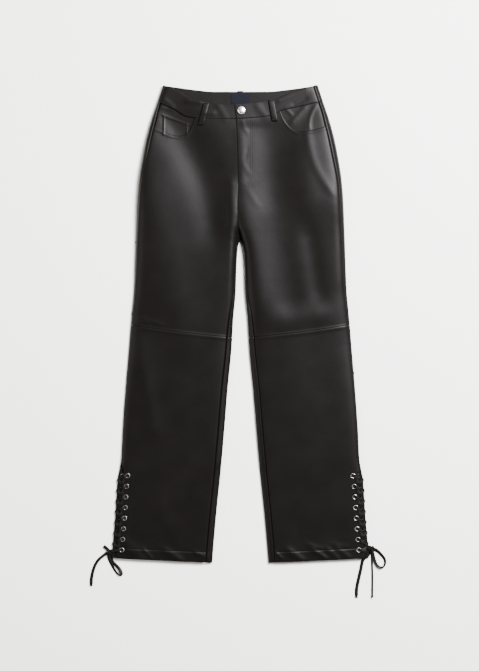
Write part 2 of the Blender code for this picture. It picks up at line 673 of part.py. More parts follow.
def weave_route(side, knot):
    """From the knot up one zigzag of the slit, across between the flaps at its top, and down the other."""
    pitch = EYELET_PITCH
    ground = LACE_ON_GROUND
    over_front = SEAM + EYELET_FLANGE + SEAM + LACE_RADIUS
    clear_of_front, clear_of_back = 0.0026, 0.0022
    between_flaps, over_back_flap = 0.0064, 0.0072

    def outer(height):
        return float(curve(OUTER, "edge", height))

    def on_front(inset, height):
        x = outer(height) - inset
        return x, height, float(front_z(side, x, height)) + over_front

    def front_over(row):
        return on_front(FRONT_EYELET_INSET, EYELET_FIRST + pitch * row)

    def front_under(row):
        x, height, z = front_over(row)
        return x, height, z - over_front - WALL - clear_of_front

    def back_over(row):
        height = EYELET_FIRST + pitch * row
        return outer(height) - BACK_EYELET_INSET, height, BACK_FLAP_LIFT + WALL + clear_of_back

    def back_under(row):
        x, height, _ = back_over(row)
        return x, height, ground

    def over_edge(row):
        """Down from the top of a front eyelet, over the front flap's edge to the back eyelet below."""
        height = EYELET_FIRST + pitch * row
        step = height - 0.88 * pitch
        return [
            front_over(row),
            on_front(0.0098, height - 0.75 * pitch),
            (outer(step) - FRONT_FLAP_INSET + 0.0032, step, over_back_flap),
            back_over(row - 1),
        ]

    def round_edge(row):
        """Down from under a back eyelet, round the back flap's edge and under the front flap."""
        height = EYELET_FIRST + pitch * row
        steps = (
            (0.22, -0.0028, ground), (0.36, 0.0018, 0.0026), (0.46, 0.0016, 0.0054), (0.60, -0.0030, 0.0060)
        )
        bend = []
        for share, beyond, z in steps:
            step = height - share * pitch
            bend.append((outer(step) + beyond, step, z))
        return [back_under(row), *bend, front_under(row - 1)]

    def strand(starts_on_front):
        points = []
        on_top = starts_on_front
        for row in range(EYELETS - 1, 0, -1):
            points += over_edge(row) if on_top else round_edge(row)
            on_top = not on_top
        return points

    x, height, z = knot
    edge = outer(height)
    from_front = [
        front_over(0),
        on_front(0.0100, EYELET_FIRST - 0.0006),
        (edge - 0.0050, height + 0.0030, 0.0086),
        (edge + 0.0004, height + 0.0016, 0.0074),
        (x - 0.0037, height + 0.0008, z + 0.0019),
    ]
    from_back = [
        back_under(0),
        (edge - 0.0040, height + 0.0012, ground),
        (x - 0.0038, height - 0.0004, z - 0.0017),
    ]
    ending_on_back = strand(True) + from_back
    ending_on_front = strand(False) + from_front
    last = EYELET_FIRST + pitch * (EYELETS - 1)
    bar = [front_under(EYELETS - 1), (outer(last) - 0.0150, last, between_flaps), back_over(EYELETS - 1)]
    return ending_on_back[::-1] + bar + ending_on_front


KNOT = {RIGHT: (0.2860, 0.0231, 0.0043), LEFT: (0.2858, 0.0307, 0.0043)}
for word, side in SIDES.items():
    add_cord(f"lace_weave_{word}", side, weave_route(side, KNOT[side]))

LIE = LACE_ON_GROUND
# The free ends: x, height and z of the points that each lace passes, away from the knot.
FREE_ENDS = {
    ("lace_loop_right", RIGHT): (
        (0.2874, 0.0188, 0.0040), (0.2880, 0.0120, LIE), (0.2855, 0.0040, LIE), (0.2810, -0.0050, LIE),
        (0.2751, -0.0153, LIE), (0.2690, -0.0240, LIE), (0.2620, -0.0285, LIE), (0.2592, -0.0240, LIE),
        (0.2636, -0.0153, LIE), (0.2700, -0.0080, LIE), (0.2770, -0.0010, LIE), (0.2820, 0.0070, LIE),
        (0.2838, 0.0130, LIE), (0.2846, 0.0188, 0.0038),
    ),
    ("lace_tail_right", RIGHT): (
        (0.2904, 0.0216, 0.0041), (0.2960, 0.0180, 0.0026), (0.3050, 0.0109, LIE), (0.3113, 0.0044, LIE),
        (0.3168, -0.0044, LIE), (0.3213, -0.0153, LIE), (0.3240, -0.0260, LIE), (0.3257, -0.0371, LIE),
        (0.3259, -0.0508, LIE),
    ),
    ("lace_loop_left", LEFT): (
        (0.2902, 0.0300, 0.0041), (0.2955, 0.0278, 0.0026), (0.3020, 0.0230, LIE), (0.3080, 0.0166, LIE),
        (0.3135, 0.0100, LIE), (0.3161, 0.0024, LIE), (0.3140, -0.0065, LIE), (0.3080, -0.0107, LIE),
        (0.3010, -0.0075, LIE), (0.2958, 0.0004, LIE), (0.2925, 0.0100, LIE), (0.2908, 0.0180, LIE),
        (0.2882, 0.0262, 0.0040),
    ),
    ("lace_tail_left_1", LEFT): (
        (0.2826, 0.0266, 0.0036), (0.2812, 0.0200, LIE), (0.2770, 0.0145, LIE), (0.2705, 0.0095, LIE),
        (0.2662, 0.0010, LIE), (0.2629, -0.0153, LIE), (0.2603, -0.0265, LIE), (0.2579, -0.0371, LIE),
        (0.2555, -0.0485, LIE), (0.2538, -0.0589, LIE), (0.2535, -0.0763, LIE),
    ),
    ("lace_tail_left_2", LEFT): (
        (0.2855, 0.0264, 0.0040), (0.2862, 0.0190, LIE), (0.2871, 0.0065, LIE), (0.2875, -0.0080, LIE),
        (0.2880, -0.0240, LIE), (0.2881, -0.0400, LIE), (0.2878, -0.0580, LIE), (0.2878, -0.0763, LIE),
    ),
}
for (name, side), route in FREE_ENDS.items():
    add_cord(name, side, smooth_route(route, 2))

# The knots are short thick stretches. The right one runs out into a stub, the bow's second loop.
KNOT_RADII = (3.0, 3.7, 3.9, 3.7, 3.0)
KNOT_REACH = 0.0036
for word, side in SIDES.items():
    x, height, z = KNOT[side]
    along = np.linspace(-KNOT_REACH, KNOT_REACH, len(KNOT_RADII))
    points = [(x, height + step, z) for step in along]
    radii = list(KNOT_RADII)
    if side == RIGHT:
        points += [(x + 0.0050, height + 0.0070, 0.0034), (x + 0.0127, height + 0.0135, 0.0028)]
        radii += [1.4, 1.4]
    add_cord(f"lace_knot_{word}", side, points, radii)
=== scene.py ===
"""Straight-legged faux leather trousers, laid flat on their back and laced at the foot of each side seam.

Metres, +Z up, the waist towards +Y and the wearer's right at -X. Each side is worked out in its own
coordinates: x is the distance from the middle line, height is measured up from the lowest corner of the
hem, and z up from the ground.
"""

import math

import bpy
import numpy as np
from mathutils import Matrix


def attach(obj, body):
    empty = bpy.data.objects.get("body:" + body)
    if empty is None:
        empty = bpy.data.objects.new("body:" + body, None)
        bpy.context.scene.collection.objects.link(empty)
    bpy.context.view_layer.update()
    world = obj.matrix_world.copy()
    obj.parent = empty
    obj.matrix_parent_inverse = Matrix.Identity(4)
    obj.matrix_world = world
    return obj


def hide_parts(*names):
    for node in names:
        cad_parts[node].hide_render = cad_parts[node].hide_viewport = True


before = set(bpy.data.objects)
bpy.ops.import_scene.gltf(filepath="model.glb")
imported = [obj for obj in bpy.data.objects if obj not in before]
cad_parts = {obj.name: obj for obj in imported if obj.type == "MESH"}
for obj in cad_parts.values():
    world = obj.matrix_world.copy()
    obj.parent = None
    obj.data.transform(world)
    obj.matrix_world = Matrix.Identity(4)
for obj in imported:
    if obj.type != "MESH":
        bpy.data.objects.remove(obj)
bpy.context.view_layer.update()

# ---------------------------------------------------------------- the eye, the ground and the light
# The garment lies on a pale matt ground and is looked at from straight above, with a long lens. One broad
# soft light stands to the right, above the waist, and a faint one opposite it opens the shadows.

PICTURE_HEIGHT = 1.463  # of ground, from the foot of the picture to its top
EYE = (-0.0020, -0.0250, 4.0)
LEVEL = 0.010  # of the garment's middle, where the picture's scale is true

lens = bpy.data.cameras.new("overhead")
lens.sensor_fit = "VERTICAL"
lens.lens = lens.sensor_height * (EYE[2] - LEVEL) / PICTURE_HEIGHT
eye = bpy.data.objects.new("overhead", lens)
eye.location = EYE
bpy.context.scene.collection.objects.link(eye)
bpy.context.scene.camera = eye


def new_material(name, colour, roughness, metallic=0.0):
    """A material and its shader, with the values that are the same all over."""
    material = bpy.data.materials.new(name)
    material.use_nodes = True
    shader = material.node_tree.nodes["Principled BSDF"]
    shader.inputs["Base Color"].default_value = (*colour, 1)
    shader.inputs["Roughness"].default_value = roughness
    shader.inputs["Metallic"].default_value = metallic
    return material, shader


def add_node(material, kind, inputs=(), **settings):
    """A node with its settings, its sockets' values and its links; a tuple's first item names the socket."""
    node = material.node_tree.nodes.new(kind)
    for name, value in settings.items():
        setattr(node, name, value)
    for name, value in inputs:
        if isinstance(value, bpy.types.NodeSocket):
            material.node_tree.links.new(value, node.inputs[name])
        else:
            node.inputs[name].default_value = value
    return node


def add_mesh(name, points, faces, material, smooth=True):
    """An object from an array of points and lists of faces, at the origin, smooth but for its sharp rims."""
    mesh = bpy.data.meshes.new(name)
    mesh.from_pydata(np.asarray(points, float).reshape(-1, 3), [], faces)
    mesh.update()
    mesh.materials.append(material)
    if smooth:
        mesh.shade_smooth()
        mesh.set_sharp_from_angle(angle=math.radians(50))
    piece = bpy.data.objects.new(name, mesh)
    bpy.context.scene.collection.objects.link(piece)
    return piece


GROUND_SIZE, GROUND_DROP = 7.0, 0.0002
GROUND_COLOUR, GROUND_PATCH = (0.84, 0.835, 0.79), (0.86, 0.855, 0.815)
ground_paper, shader = new_material("pale ground", GROUND_COLOUR, 0.9)
where = add_node(ground_paper, "ShaderNodeTexCoord")
mottle = add_node(ground_paper, "ShaderNodeTexNoise", [("Vector", where.outputs["Object"]), ("Scale", 1.2)])
tint = add_node(
    ground_paper, "ShaderNodeMix",
    [("Factor", mottle.outputs["Fac"]), (6, (*GROUND_COLOUR, 1)), (7, (*GROUND_PATCH, 1))],
    data_type="RGBA",
)
ground_paper.node_tree.links.new(tint.outputs[2], shader.inputs["Base Color"])
half = GROUND_SIZE / 2
corners = [(x, y, -GROUND_DROP) for x, y in ((-half, -half), (half, -half), (half, half), (-half, half))]
ground = add_mesh("ground", corners, [(0, 1, 2, 3)], ground_paper, smooth=False)


def add_soft_light(name, place, target, width, power, colour):
    """A square panel of light at a place, turned to face a target."""
    light = bpy.data.lights.new(name, "AREA")
    light.shape = "SQUARE"
    light.size = width
    light.energy = power
    light.color = colour
    panel = bpy.data.objects.new(name, light)
    panel.location = place
    away = np.array(place) - np.array(target)
    tilt = math.acos(away[2] / np.linalg.norm(away))
    panel.rotation_euler = (tilt, 0, math.atan2(away[1], away[0]) + math.pi / 2)
    bpy.context.scene.collection.objects.link(panel)


MIDDLE_OF_GROUND = (0.0, 0.0, 0.0)
add_soft_light("key light", (1.45, 1.35, 2.75), MIDDLE_OF_GROUND, 1.3, 770, (0.975, 0.970, 1.0))
add_soft_light("fill light", (-2.8, -0.4, 2.0), MIDDLE_OF_GROUND, 2.4, 100, (1.0, 0.98, 0.94))
sky = bpy.data.worlds.new("room")
sky.use_nodes = True
sky.node_tree.nodes["Background"].inputs["Color"].default_value = (0.93, 0.93, 0.95, 1)
sky.node_tree.nodes["Background"].inputs["Strength"].default_value = 0.14
bpy.context.scene.world = sky

# ---------------------------------------------------------------- the laces' free ends
# Each slit is laced with one flat strip of faux leather, 7 mm wide, tied in a bow below the lowest eyelet.
# Its loops and ends lie loose on the ground, flat in places and turned on edge in others.

RIGHT, LEFT = -1, 1
SIDES = {"right": RIGHT, "left": LEFT}
LENGTH = 1.042  # lowest corner of the hem to the corners of the waist
LACE_WIDTH, LACE_THICK = 0.0074, 0.0011
LIE = 0.0014  # the middle of a free end, above the ground
LEAST_CLEAR = 0.0001  # between a free end and the ground
STEP = 0.0012  # between a lace's rings

lace_leather, shader = new_material("lace leather", (0.0036, 0.0032, 0.0028), 0.50)
shader.inputs["Specular IOR Level"].default_value = 0.06
where = add_node(lace_leather, "ShaderNodeTexCoord")
grain = add_node(
    lace_leather, "ShaderNodeTexNoise",
    [("Vector", where.outputs["Object"]), ("Scale", 1400), ("Detail", 3)],
)
relief = add_node(
    lace_leather, "ShaderNodeBump",
    [("Height", grain.outputs["Fac"]), ("Strength", 0.35), ("Distance", 0.0003)],
)
lace_leather.node_tree.links.new(relief.outputs["Normal"], shader.inputs["Normal"])


def to_world(side, points):
    """Own coordinates (x, height, z) of one side in the garment's frame."""
    points = np.asarray(points, float)
    return np.stack([side * points[..., 0], points[..., 1] - LENGTH / 2, points[..., 2]], axis=-1)


def smooth_route(points, step=STEP):
    """Evenly spaced points of the Catmull-Rom curve through the given ones; extra columns go along."""
    points = np.asarray(points, float)
    padded = np.concatenate([2 * points[:1] - points[1:2], points, 2 * points[-1:] - points[-2:-1]])
    a, b, c, d = (padded[i : i + len(points) - 1, None] for i in range(4))
    t = (np.arange(16) / 16)[None, :, None]
    bend = (2 * a - 5 * b + 4 * c - d) * t**2 + (3 * b - a - 3 * c + d) * t**3
    dense = np.concatenate([(0.5 * (2 * b + (c - a) * t + bend)).reshape(-1, points.shape[1]), points[-1:]])
    along = np.concatenate([[0], np.cumsum(np.linalg.norm(np.diff(dense[:, :3], axis=0), axis=1))])
    at = np.linspace(0, along[-1], math.ceil(along[-1] / step) + 1)
    return np.stack([np.interp(at, along, column) for column in dense.T], axis=-1)


def unit(vectors):
    """The same directions at a length of 1."""
    return vectors / np.maximum(np.linalg.norm(vectors, axis=-1, keepdims=True), 1e-12)


STRIP_SIDES = 12


def add_strip(name, path, across, width, thick, material, closed=False):
    """A flat strip carried along a path. Its section is an oblong with round edges, a superellipse whose
    cosine and sine are each raised to one half; across is the direction of its width at each point."""
    if closed:
        tangent = unit(np.roll(path, -1, axis=0) - np.roll(path, 1, axis=0))
    else:
        tangent = unit(np.gradient(path, axis=0))
    across = unit(across - tangent * (across * tangent).sum(-1, keepdims=True))
    upright = np.cross(tangent, across)
    turn = np.linspace(0, 2 * math.pi, STRIP_SIDES, endpoint=False)
    to_width, to_thick = (np.sign(wave) * np.abs(wave) ** 0.5 for wave in (np.cos(turn), np.sin(turn)))
    wide, high = (np.broadcast_to(np.asarray(span)[..., None], (len(path), 1)) for span in (width, thick))
    ring = (
        path[:, None]
        + across[:, None] * (wide / 2 * to_width)[..., None]
        + upright[:, None] * (high / 2 * to_thick)[..., None]
    )
    number = np.arange(len(path) * STRIP_SIDES).reshape(len(path), STRIP_SIDES)
    first, second = (number, np.roll(number, -1, axis=0)) if closed else (number[:-1], number[1:])
    faces = np.stack([first, np.roll(first, -1, axis=1), np.roll(second, -1, axis=1), second], axis=-1)
    faces = faces.reshape(-1, 4).tolist()
    if not closed:
        faces += [number[0, ::-1].tolist(), number[-1].tolist()]
    return add_mesh(name, ring, faces, material)


# Points that each free end passes, away from the knot: x, height, z and the turn of its width from level.
FREE_ENDS = {
    ("lace_loop_right", RIGHT): (
        (0.2874, 0.0188, 0.0040, 0.3), (0.2880, 0.0120, LIE, 0.5), (0.2855, 0.0040, LIE, 0.6),
        (0.2810, -0.0050, LIE, 0.7), (0.2751, -0.0153, LIE, 0.7), (0.2690, -0.0240, LIE, 0.8),
        (0.2620, -0.0285, LIE, 1.0), (0.2592, -0.0240, LIE, 0.8), (0.2636, -0.0153, LIE, 0.3),
        (0.2700, -0.0080, LIE, 0.0), (0.2770, -0.0010, LIE, 0.0), (0.2820, 0.0070, LIE, 0.0),
        (0.2838, 0.0130, LIE, 0.0), (0.2846, 0.0188, 0.0038, 0.0),
    ),
    ("lace_tail_right", RIGHT): (
        (0.2904, 0.0216, 0.0041, 0.3), (0.2960, 0.0180, 0.0026, 0.5), (0.3050, 0.0109, LIE, 0.5),
        (0.3113, 0.0044, LIE, 0.4), (0.3168, -0.0044, LIE, 0.4), (0.3213, -0.0153, LIE, 0.3),
        (0.3240, -0.0260, LIE, 0.2), (0.3257, -0.0371, LIE, 0.1), (0.3259, -0.0508, LIE, 0.1),
    ),
    ("lace_loop_left", LEFT): (
        (0.2902, 0.0300, 0.0041, 0.1), (0.2955, 0.0278, 0.0026, 0.2), (0.3020, 0.0230, LIE, 0.3),
        (0.3080, 0.0166, LIE, 0.4), (0.3135, 0.0100, LIE, 0.6), (0.3161, 0.0024, LIE, 0.9),
        (0.3140, -0.0065, LIE, 1.1), (0.3080, -0.0107, LIE, 1.1), (0.3010, -0.0075, LIE, 1.0),
        (0.2958, 0.0004, LIE, 0.9), (0.2925, 0.0100, LIE, 0.8), (0.2908, 0.0180, LIE, 0.8),
        (0.2882, 0.0262, 0.0040, 0.8),
    ),
    ("lace_tail_left_1", LEFT): (
        (0.2826, 0.0266, 0.0036, 0.0), (0.2812, 0.0200, LIE, 0.0), (0.2770, 0.0145, LIE, 0.0),
        (0.2705, 0.0095, LIE, 0.0), (0.2662, 0.0010, LIE, 0.1), (0.2629, -0.0153, LIE, 0.1),
        (0.2603, -0.0265, LIE, 0.0), (0.2579, -0.0371, LIE, 0.1), (0.2555, -0.0485, LIE, 0.0),
        (0.2538, -0.0589, LIE, 0.0), (0.2535, -0.0763, LIE, 0.1),
    ),
    ("lace_tail_left_2", LEFT): (
        (0.2855, 0.0264, 0.0040, 1.0), (0.2862, 0.0190, LIE, 1.0), (0.2871, 0.0065, LIE, 1.0),
        (0.2875, -0.0080, LIE, 1.0), (0.2880, -0.0240, LIE, 1.0), (0.2881, -0.0400, LIE, 1.0),
        (0.2878, -0.0580, LIE, 1.0), (0.2878, -0.0763, LIE, 1.0),
    ),
}
TIP_WIDTH, TIP_THICK, TIP_REACH = 0.0052, 0.0040, 0.0040

free_ends = {}
for (name, side), route in FREE_ENDS.items():
    way = smooth_route(route)
    path, turn = to_world(side, way), way[:, 3]
    loop = "loop" in name
    to_tip = np.linspace((len(way) - 1) * STEP, 0, len(way))
    tip = 0 * to_tip if loop else np.exp(-(((to_tip - 0.5 * TIP_REACH) / (0.5 * TIP_REACH)) ** 4))
    width = LACE_WIDTH + (TIP_WIDTH - LACE_WIDTH) * tip
    thick = LACE_THICK + (TIP_THICK - LACE_THICK) * tip
    half_height = (width * np.abs(np.sin(turn)) + thick * np.abs(np.cos(turn))) / 2
    path[:, 2] = np.maximum(path[:, 2], half_height + LEAST_CLEAR)
    tangent = unit(np.gradient(path, axis=0))
    level = unit(np.cross([0.0, 0.0, 1.0], tangent))
    across = level * np.cos(turn)[:, None] + np.array([0, 0, 1.0]) * np.sin(turn)[:, None]
    piece = add_strip(name.replace("lace_", "free_"), path, across, width, thick, lace_leather)
    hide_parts(name)
    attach(piece, "root")
    long = float(np.linalg.norm(np.diff(path, axis=0), axis=1).sum())
    free_ends[name] = {"piece": piece, "path": path, "long": long, "side": side, "loop": loop}

# ---------------------------------------------------------------- the fronts
# Four panels of 1 mm faux leather, smooth and half glossy over knitted backing: a thigh and a shin to each
# leg, joined by a seam at the knee. The thighs meet at the fly, where the left one laps over the right one.
# The shins end in a hem turned up inside, and run out at the side into a flap with eyelets.

WALL, SEAM = 0.0010, 0.0003
CROTCH, CROTCH_EASE = 0.702, 0.035
SIDE_HEIGHT, FOLD_DEPTH, FOLD_RADIUS = 0.005, 0.006, 0.0026
MID_LEG = 0.12  # from the middle line

# The fly's lap: how far the right front runs on under it, along the fly and at the waistband, and how much it
# lifts the left front there; where the one value gives way to the other; the lap's foot; over what width the
# left front comes down from it, at its foot and above; and where the underlap starts, as a height and an angle.
FLY_LAP, WAISTBAND_LAP = 0.010, 0.014
FLY_RISE, WAISTBAND_RISE = 0.0016, 0.0028
WAISTBAND_STEP, WAISTBAND_STEP_EASE = 0.945, 0.020
FLY_FOOT, FLY_EASE = 0.797, 0.035
FLY_REACH, LAP_REACH, REACH_EASE = 0.034, 0.150, 0.100
UNDERLAP_FOOT, UNDERLAP_TURN = 0.819, 2.4

# The turned edge under the knee seam, the welt above it, the hem's roll and its row of stitches, and the roll
# along the pocket's mouth: each has a rise, a place measured from its seam and a reach.
KNEE_TURN, KNEE_TURN_RISE, KNEE_TURN_EDGE = 0.0060, 0.0004, 0.0028
KNEE_WELT, KNEE_WELT_ABOVE, KNEE_WELT_REACH = 0.0005, 0.0012, 0.0018
HEM_DEPTH, HEM_WALL, HEM_WALL_EASE, HEM_FOLD_CLEAR = 0.022, 0.0018, 0.003, 0.012
HEM_ROLL, HEM_ROLL_BELOW, HEM_ROLL_EASE = 0.0006, 0.001, 0.0015
HEM_PULL, HEM_PULL_REACH = 0.0005, 0.0012
MOUTH_ROLL, MOUTH_ROLL_BELOW, MOUTH_ROLL_REACH, MOUTH_ROLL_START = 0.0005, 0.0049, 0.0024, 0.010

# How deep the seams at the two folds draw the cloth in, and where these grooves fade.
INSEAM_GROOVE, SIDE_GROOVE, GROOVE_REACH = 0.0022, 0.0010, 0.0014
INSEAM_GROOVE_TOP, INSEAM_GROOVE_EASE, SIDE_GROOVE_EASE = 0.52, 0.10, 0.05

# The slit: its top, how far the back flap stands off the ground, and how far the front flap ends short of it.
SLIT_TOP, SLIT_BLEND, BACK_FLAP_LIFT, FRONT_FLAP_INSET = 0.218, 0.018, 0.0034, 0.0105
FRONT_EYELET_INSET, BACK_EYELET_INSET = 0.0210, 0.0095
EYELETS, EYELET_FIRST, EYELET_PITCH = 8, 0.0285, 0.0231


def table(names, *rows):
    """Named columns with a row for each section; the first column is what the others are read at."""
    return dict(zip(names.split(), np.array(rows).T, strict=True))


OUTER = table(
    "height edge",
    (0.000, 0.2815), (0.050, 0.2777), (0.094, 0.2739), (0.137, 0.2711), (0.181, 0.2681),
    (0.203, 0.2640), (0.225, 0.2600), (0.290, 0.2568), (0.377, 0.2507), (0.464, 0.2434),
    (0.508, 0.2399), (0.551, 0.2360), (0.595, 0.2321), (0.704, 0.2282), (0.791, 0.2249),
    (0.835, 0.2214), (0.878, 0.2149), (0.922, 0.2062), (0.966, 0.1943), (1.014, 0.1779),
    (1.042, 0.1685),
)
INNER = table(
    "height edge",
    (0.000, 0.0613), (0.028, 0.0593), (0.115, 0.0516), (0.203, 0.0425), (0.290, 0.0348),
    (0.377, 0.0279), (0.464, 0.0194), (0.530, 0.0155), (0.595, 0.0098), (0.640, 0.0085),
    (0.672, 0.0068), (0.692, 0.0048), (0.699, 0.0030), (0.702, 0.0000),
)
MIDDLE = table(
    "height x",
    (0.702, 0.0000), (0.730, -0.0040), (0.783, -0.0062), (0.824, -0.0048), (0.870, -0.0057),
    (0.964, -0.0087), (1.002, -0.0131),
)
# The arch's top above the ground, how deep the fronts sink between the legs (1 is down to the folds), and
# how flat the arch is towards the side and towards the middle: a power of 2 would make it an ellipse.
CROWN = table(
    "height top valley outer_power inner_power",
    (0.000, 0.0105, 1.00, 5.4, 5.4), (0.200, 0.0115, 1.00, 5.4, 5.4), (0.400, 0.0135, 1.00, 5.4, 5.4),
    (0.520, 0.0160, 1.00, 6.5, 7.0), (0.600, 0.0187, 1.00, 7.5, 9.0), (0.640, 0.0198, 1.00, 8.5, 12.0),
    (0.695, 0.0212, 1.00, 10.0, 16.0), (0.715, 0.0216, 0.90, 11.0, 18.0), (0.735, 0.0221, 0.42, 12.0, 18.0),
    (0.765, 0.0227, 0.15, 15.0, 14.0), (0.820, 0.0230, 0.08, 20.0, 12.0), (0.880, 0.0222, 0.04, 22.0, 12.0),
    (0.940, 0.0207, 0.02, 22.0, 12.0), (1.005, 0.0188, 0.00, 18.0, 12.0), (1.042, 0.0178, 0.00, 14.0, 12.0),
)
ROLL = table(
    "height right_side left_side inseam",
    (0.000, 0.0012, 0.0012, 0.0145), (0.355, 0.0012, 0.0012, 0.0135), (0.488, 0.0012, 0.0015, 0.0120),
    (0.573, 0.0012, 0.0035, 0.0060), (0.620, 0.0012, 0.0055, 0.0015), (0.704, 0.0015, 0.0078, 0.0008),
    (0.824, 0.0040, 0.0100, 0.0006), (0.866, 0.0072, 0.0122, 0.0006), (0.905, 0.0105, 0.0136, 0.0006),
    (0.953, 0.0105, 0.0130, 0.0006), (0.990, 0.0070, 0.0105, 0.0006), (1.042, 0.0030, 0.0100, 0.0006),
)
HEM = table("x height", (0.06, 0.0000), (0.17, 0.0050), (0.29, 0.0108))
KNEE = table("x height", (0.01, 0.4908), (0.05, 0.4945), (0.14, 0.5045), (0.24, 0.5190))
FRONT_SEAM = {
    RIGHT: table("x height", (0.00, 0.9675), (0.05, 0.9672), (0.10, 0.9700), (0.12, 0.9745),
                 (0.14, 0.9865), (0.165, 0.9980), (0.185, 1.0070)),
    LEFT: table("x height", (0.00, 0.9675), (0.05, 0.9715), (0.07, 0.9750), (0.09, 0.9860),
                (0.13, 0.9950), (0.15, 0.9998), (0.185, 1.0070)),
}
POCKET_MOUTH = {
    RIGHT: table("x height", (0.097, 0.9800), (0.1005, 0.9670), (0.104, 0.9560), (0.108, 0.9468),
                 (0.119, 0.9357), (0.135, 0.9315), (0.156, 0.9357), (0.176, 0.9456), (0.200, 0.9540)),
    LEFT: table("x height", (0.085, 0.9920), (0.089, 0.9780), (0.096, 0.9640), (0.105, 0.9525),
                (0.114, 0.9450), (0.126, 0.9402), (0.152, 0.9424), (0.183, 0.9509), (0.200, 0.9560)),
}
# Soft ridges (up) and troughs (down), each along a line between two points; x is negative on the wearer's
# right. width is the bell's half width, and bow pushes the line's middle sideways.
FOLDS = table(
    "x height to_x to_height width rise bow",
    # thigh, wearer's right
    (-0.129, 0.938, -0.056, 0.765, 0.044, -0.0064, -0.009),
    (-0.196, 0.790, -0.142, 0.560, 0.050, 0.0036, 0),
    (-0.020, 0.820, -0.020, 0.720, 0.012, 0.0017, 0),
    (-0.018, 0.690, -0.026, 0.510, 0.008, 0.0007, 0),
    # thigh, wearer's left
    (0.000, 0.930, 0.002, 0.820, 0.013, 0.0008, 0),
    (0.060, 0.925, 0.068, 0.850, 0.042, -0.0034, 0),
    (-0.010, 0.755, 0.032, 0.575, 0.044, 0.0049, 0),
    (0.080, 0.780, 0.108, 0.580, 0.036, -0.0020, 0),
    (0.144, 0.905, 0.150, 0.800, 0.034, 0.0038, 0),
    (0.192, 0.955, 0.198, 0.800, 0.034, 0.0034, 0),
    (0.145, 0.950, 0.200, 0.806, 0.010, 0.0007, 0.014),
    (0.150, 0.710, 0.168, 0.600, 0.021, -0.0022, 0),
    (0.210, 0.780, 0.219, 0.620, 0.015, 0.0008, 0),
    (0.100, 0.530, 0.162, 0.538, 0.026, 0.0026, 0),
    # shins
    (-0.225, 0.480, -0.190, 0.300, 0.020, 0.0014, 0),
    (-0.175, 0.120, -0.150, 0.060, 0.018, 0.0008, 0),
    (0.110, 0.490, 0.130, 0.320, 0.050, 0.0014, 0),
    # above the knee seams
    (-0.222, 0.535, -0.206, 0.528, 0.006, 0.0009, 0),
    (-0.190, 0.526, -0.172, 0.520, 0.005, 0.0006, 0),
    # fly
    (0.005, 0.958, 0.013, 0.940, 0.005, 0.0003, 0.001),
    (0.015, 0.900, 0.011, 0.884, 0.005, -0.0002, 0),
    (0.008, 0.866, 0.018, 0.850, 0.005, 0.0002, 0),
    (0.020, 0.806, 0.036, 0.780, 0.007, 0.0002, 0),
    # waistband and pocket facings
    (-0.166, 1.009, -0.150, 0.997, 0.0060, 0.0006, 0),
    (-0.112, 1.006, -0.090, 1.004, 0.0060, 0.0010, 0),
    (-0.079, 0.980, -0.061, 0.980, 0.0060, 0.0009, 0),
    (-0.048, 0.996, -0.036, 0.975, 0.0080, 0.0005, 0),
    (0.040, 0.992, 0.052, 0.976, 0.0080, 0.0005, 0),
    (0.086, 1.007, 0.142, 1.030, 0.0060, 0.0006, 0),
    (0.118, 1.000, 0.140, 1.010, 0.0050, -0.0005, 0),
    (0.103, 0.985, 0.110, 0.978, 0.0040, 0.0006, 0),
    (0.139, 0.990, 0.115, 0.964, 0.0060, 0.0007, 0),
    (0.163, 0.994, 0.150, 0.950, 0.0045, 0.0006, 0.004),
    (-0.168, 0.992, -0.150, 0.988, 0.0050, 0.0006, 0),
    (-0.176, 0.962, -0.160, 0.940, 0.0120, 0.0005, 0),
    # the coin pocket's turned edges
    (-0.1680, 0.9752, -0.1150, 0.9560, 0.0022, 0.0007, 0),
    (-0.1160, 0.9545, -0.1160, 0.9330, 0.0016, 0.0005, 0),
    (-0.1660, 0.9710, -0.1670, 0.9330, 0.0016, 0.0006, 0),
    # hems, where the turned-up cloth twists
    (-0.256, 0.048, -0.228, 0.030, 0.0110, 0.0012, 0),
    (-0.240, 0.026, -0.218, 0.010, 0.0080, 0.0010, 0),
    (-0.209, 0.028, -0.195, 0.012, 0.0040, 0.0009, 0),
    (-0.162, 0.026, -0.134, 0.008, 0.0090, 0.0018, 0),
    (-0.096, 0.022, -0.076, 0.013, 0.0050, 0.0011, 0),
    (0.076, 0.023, 0.088, 0.012, 0.0040, 0.0010, 0),
    (0.108, 0.026, 0.132, 0.009, 0.0080, 0.0016, 0),
    (0.160, 0.028, 0.184, 0.012, 0.0060, 0.0014, 0),
    (0.192, 0.029, 0.210, 0.012, 0.0070, 0.0013, 0),
    (0.214, 0.030, 0.234, 0.014, 0.0070, 0.0012, 0),
    (0.150, 0.040, 0.176, 0.032, 0.0050, 0.0007, 0),
    (0.200, 0.042, 0.230, 0.036, 0.0060, 0.0005, 0),
)


def smooth_step(t):
    """0 below 0, 1 above 1 and an S between them."""
    t = np.clip(t, 0.0, 1.0)
    return t * t * (3 - 2 * t)


def curve(rows, column, at):
    """A smooth curve through one column that never swings past its rows: cubic pieces between them."""
    keys, values = next(iter(rows.values())), rows[column]
    steps = np.diff(keys)
    secants = np.diff(values) / steps
    before, after = secants[:-1], secants[1:]
    same_way = before * after > 0
    inner = np.where(same_way, 2 * before * after / np.where(same_way, before + after, 1), 0)
    slopes = np.concatenate([secants[:1], inner, secants[-1:]])
    at = np.clip(at, keys[0], keys[-1])
    i = np.clip(np.searchsorted(keys, at, side="right") - 1, 0, len(keys) - 2)
    t = (at - keys[i]) / steps[i]
    rest = 1 - t
    return (
        values[i] * (1 + 2 * t) * rest**2
        + slopes[i] * steps[i] * t * rest**2
        + values[i + 1] * (3 - 2 * t) * t**2
        - slopes[i + 1] * steps[i] * rest * t**2
    )


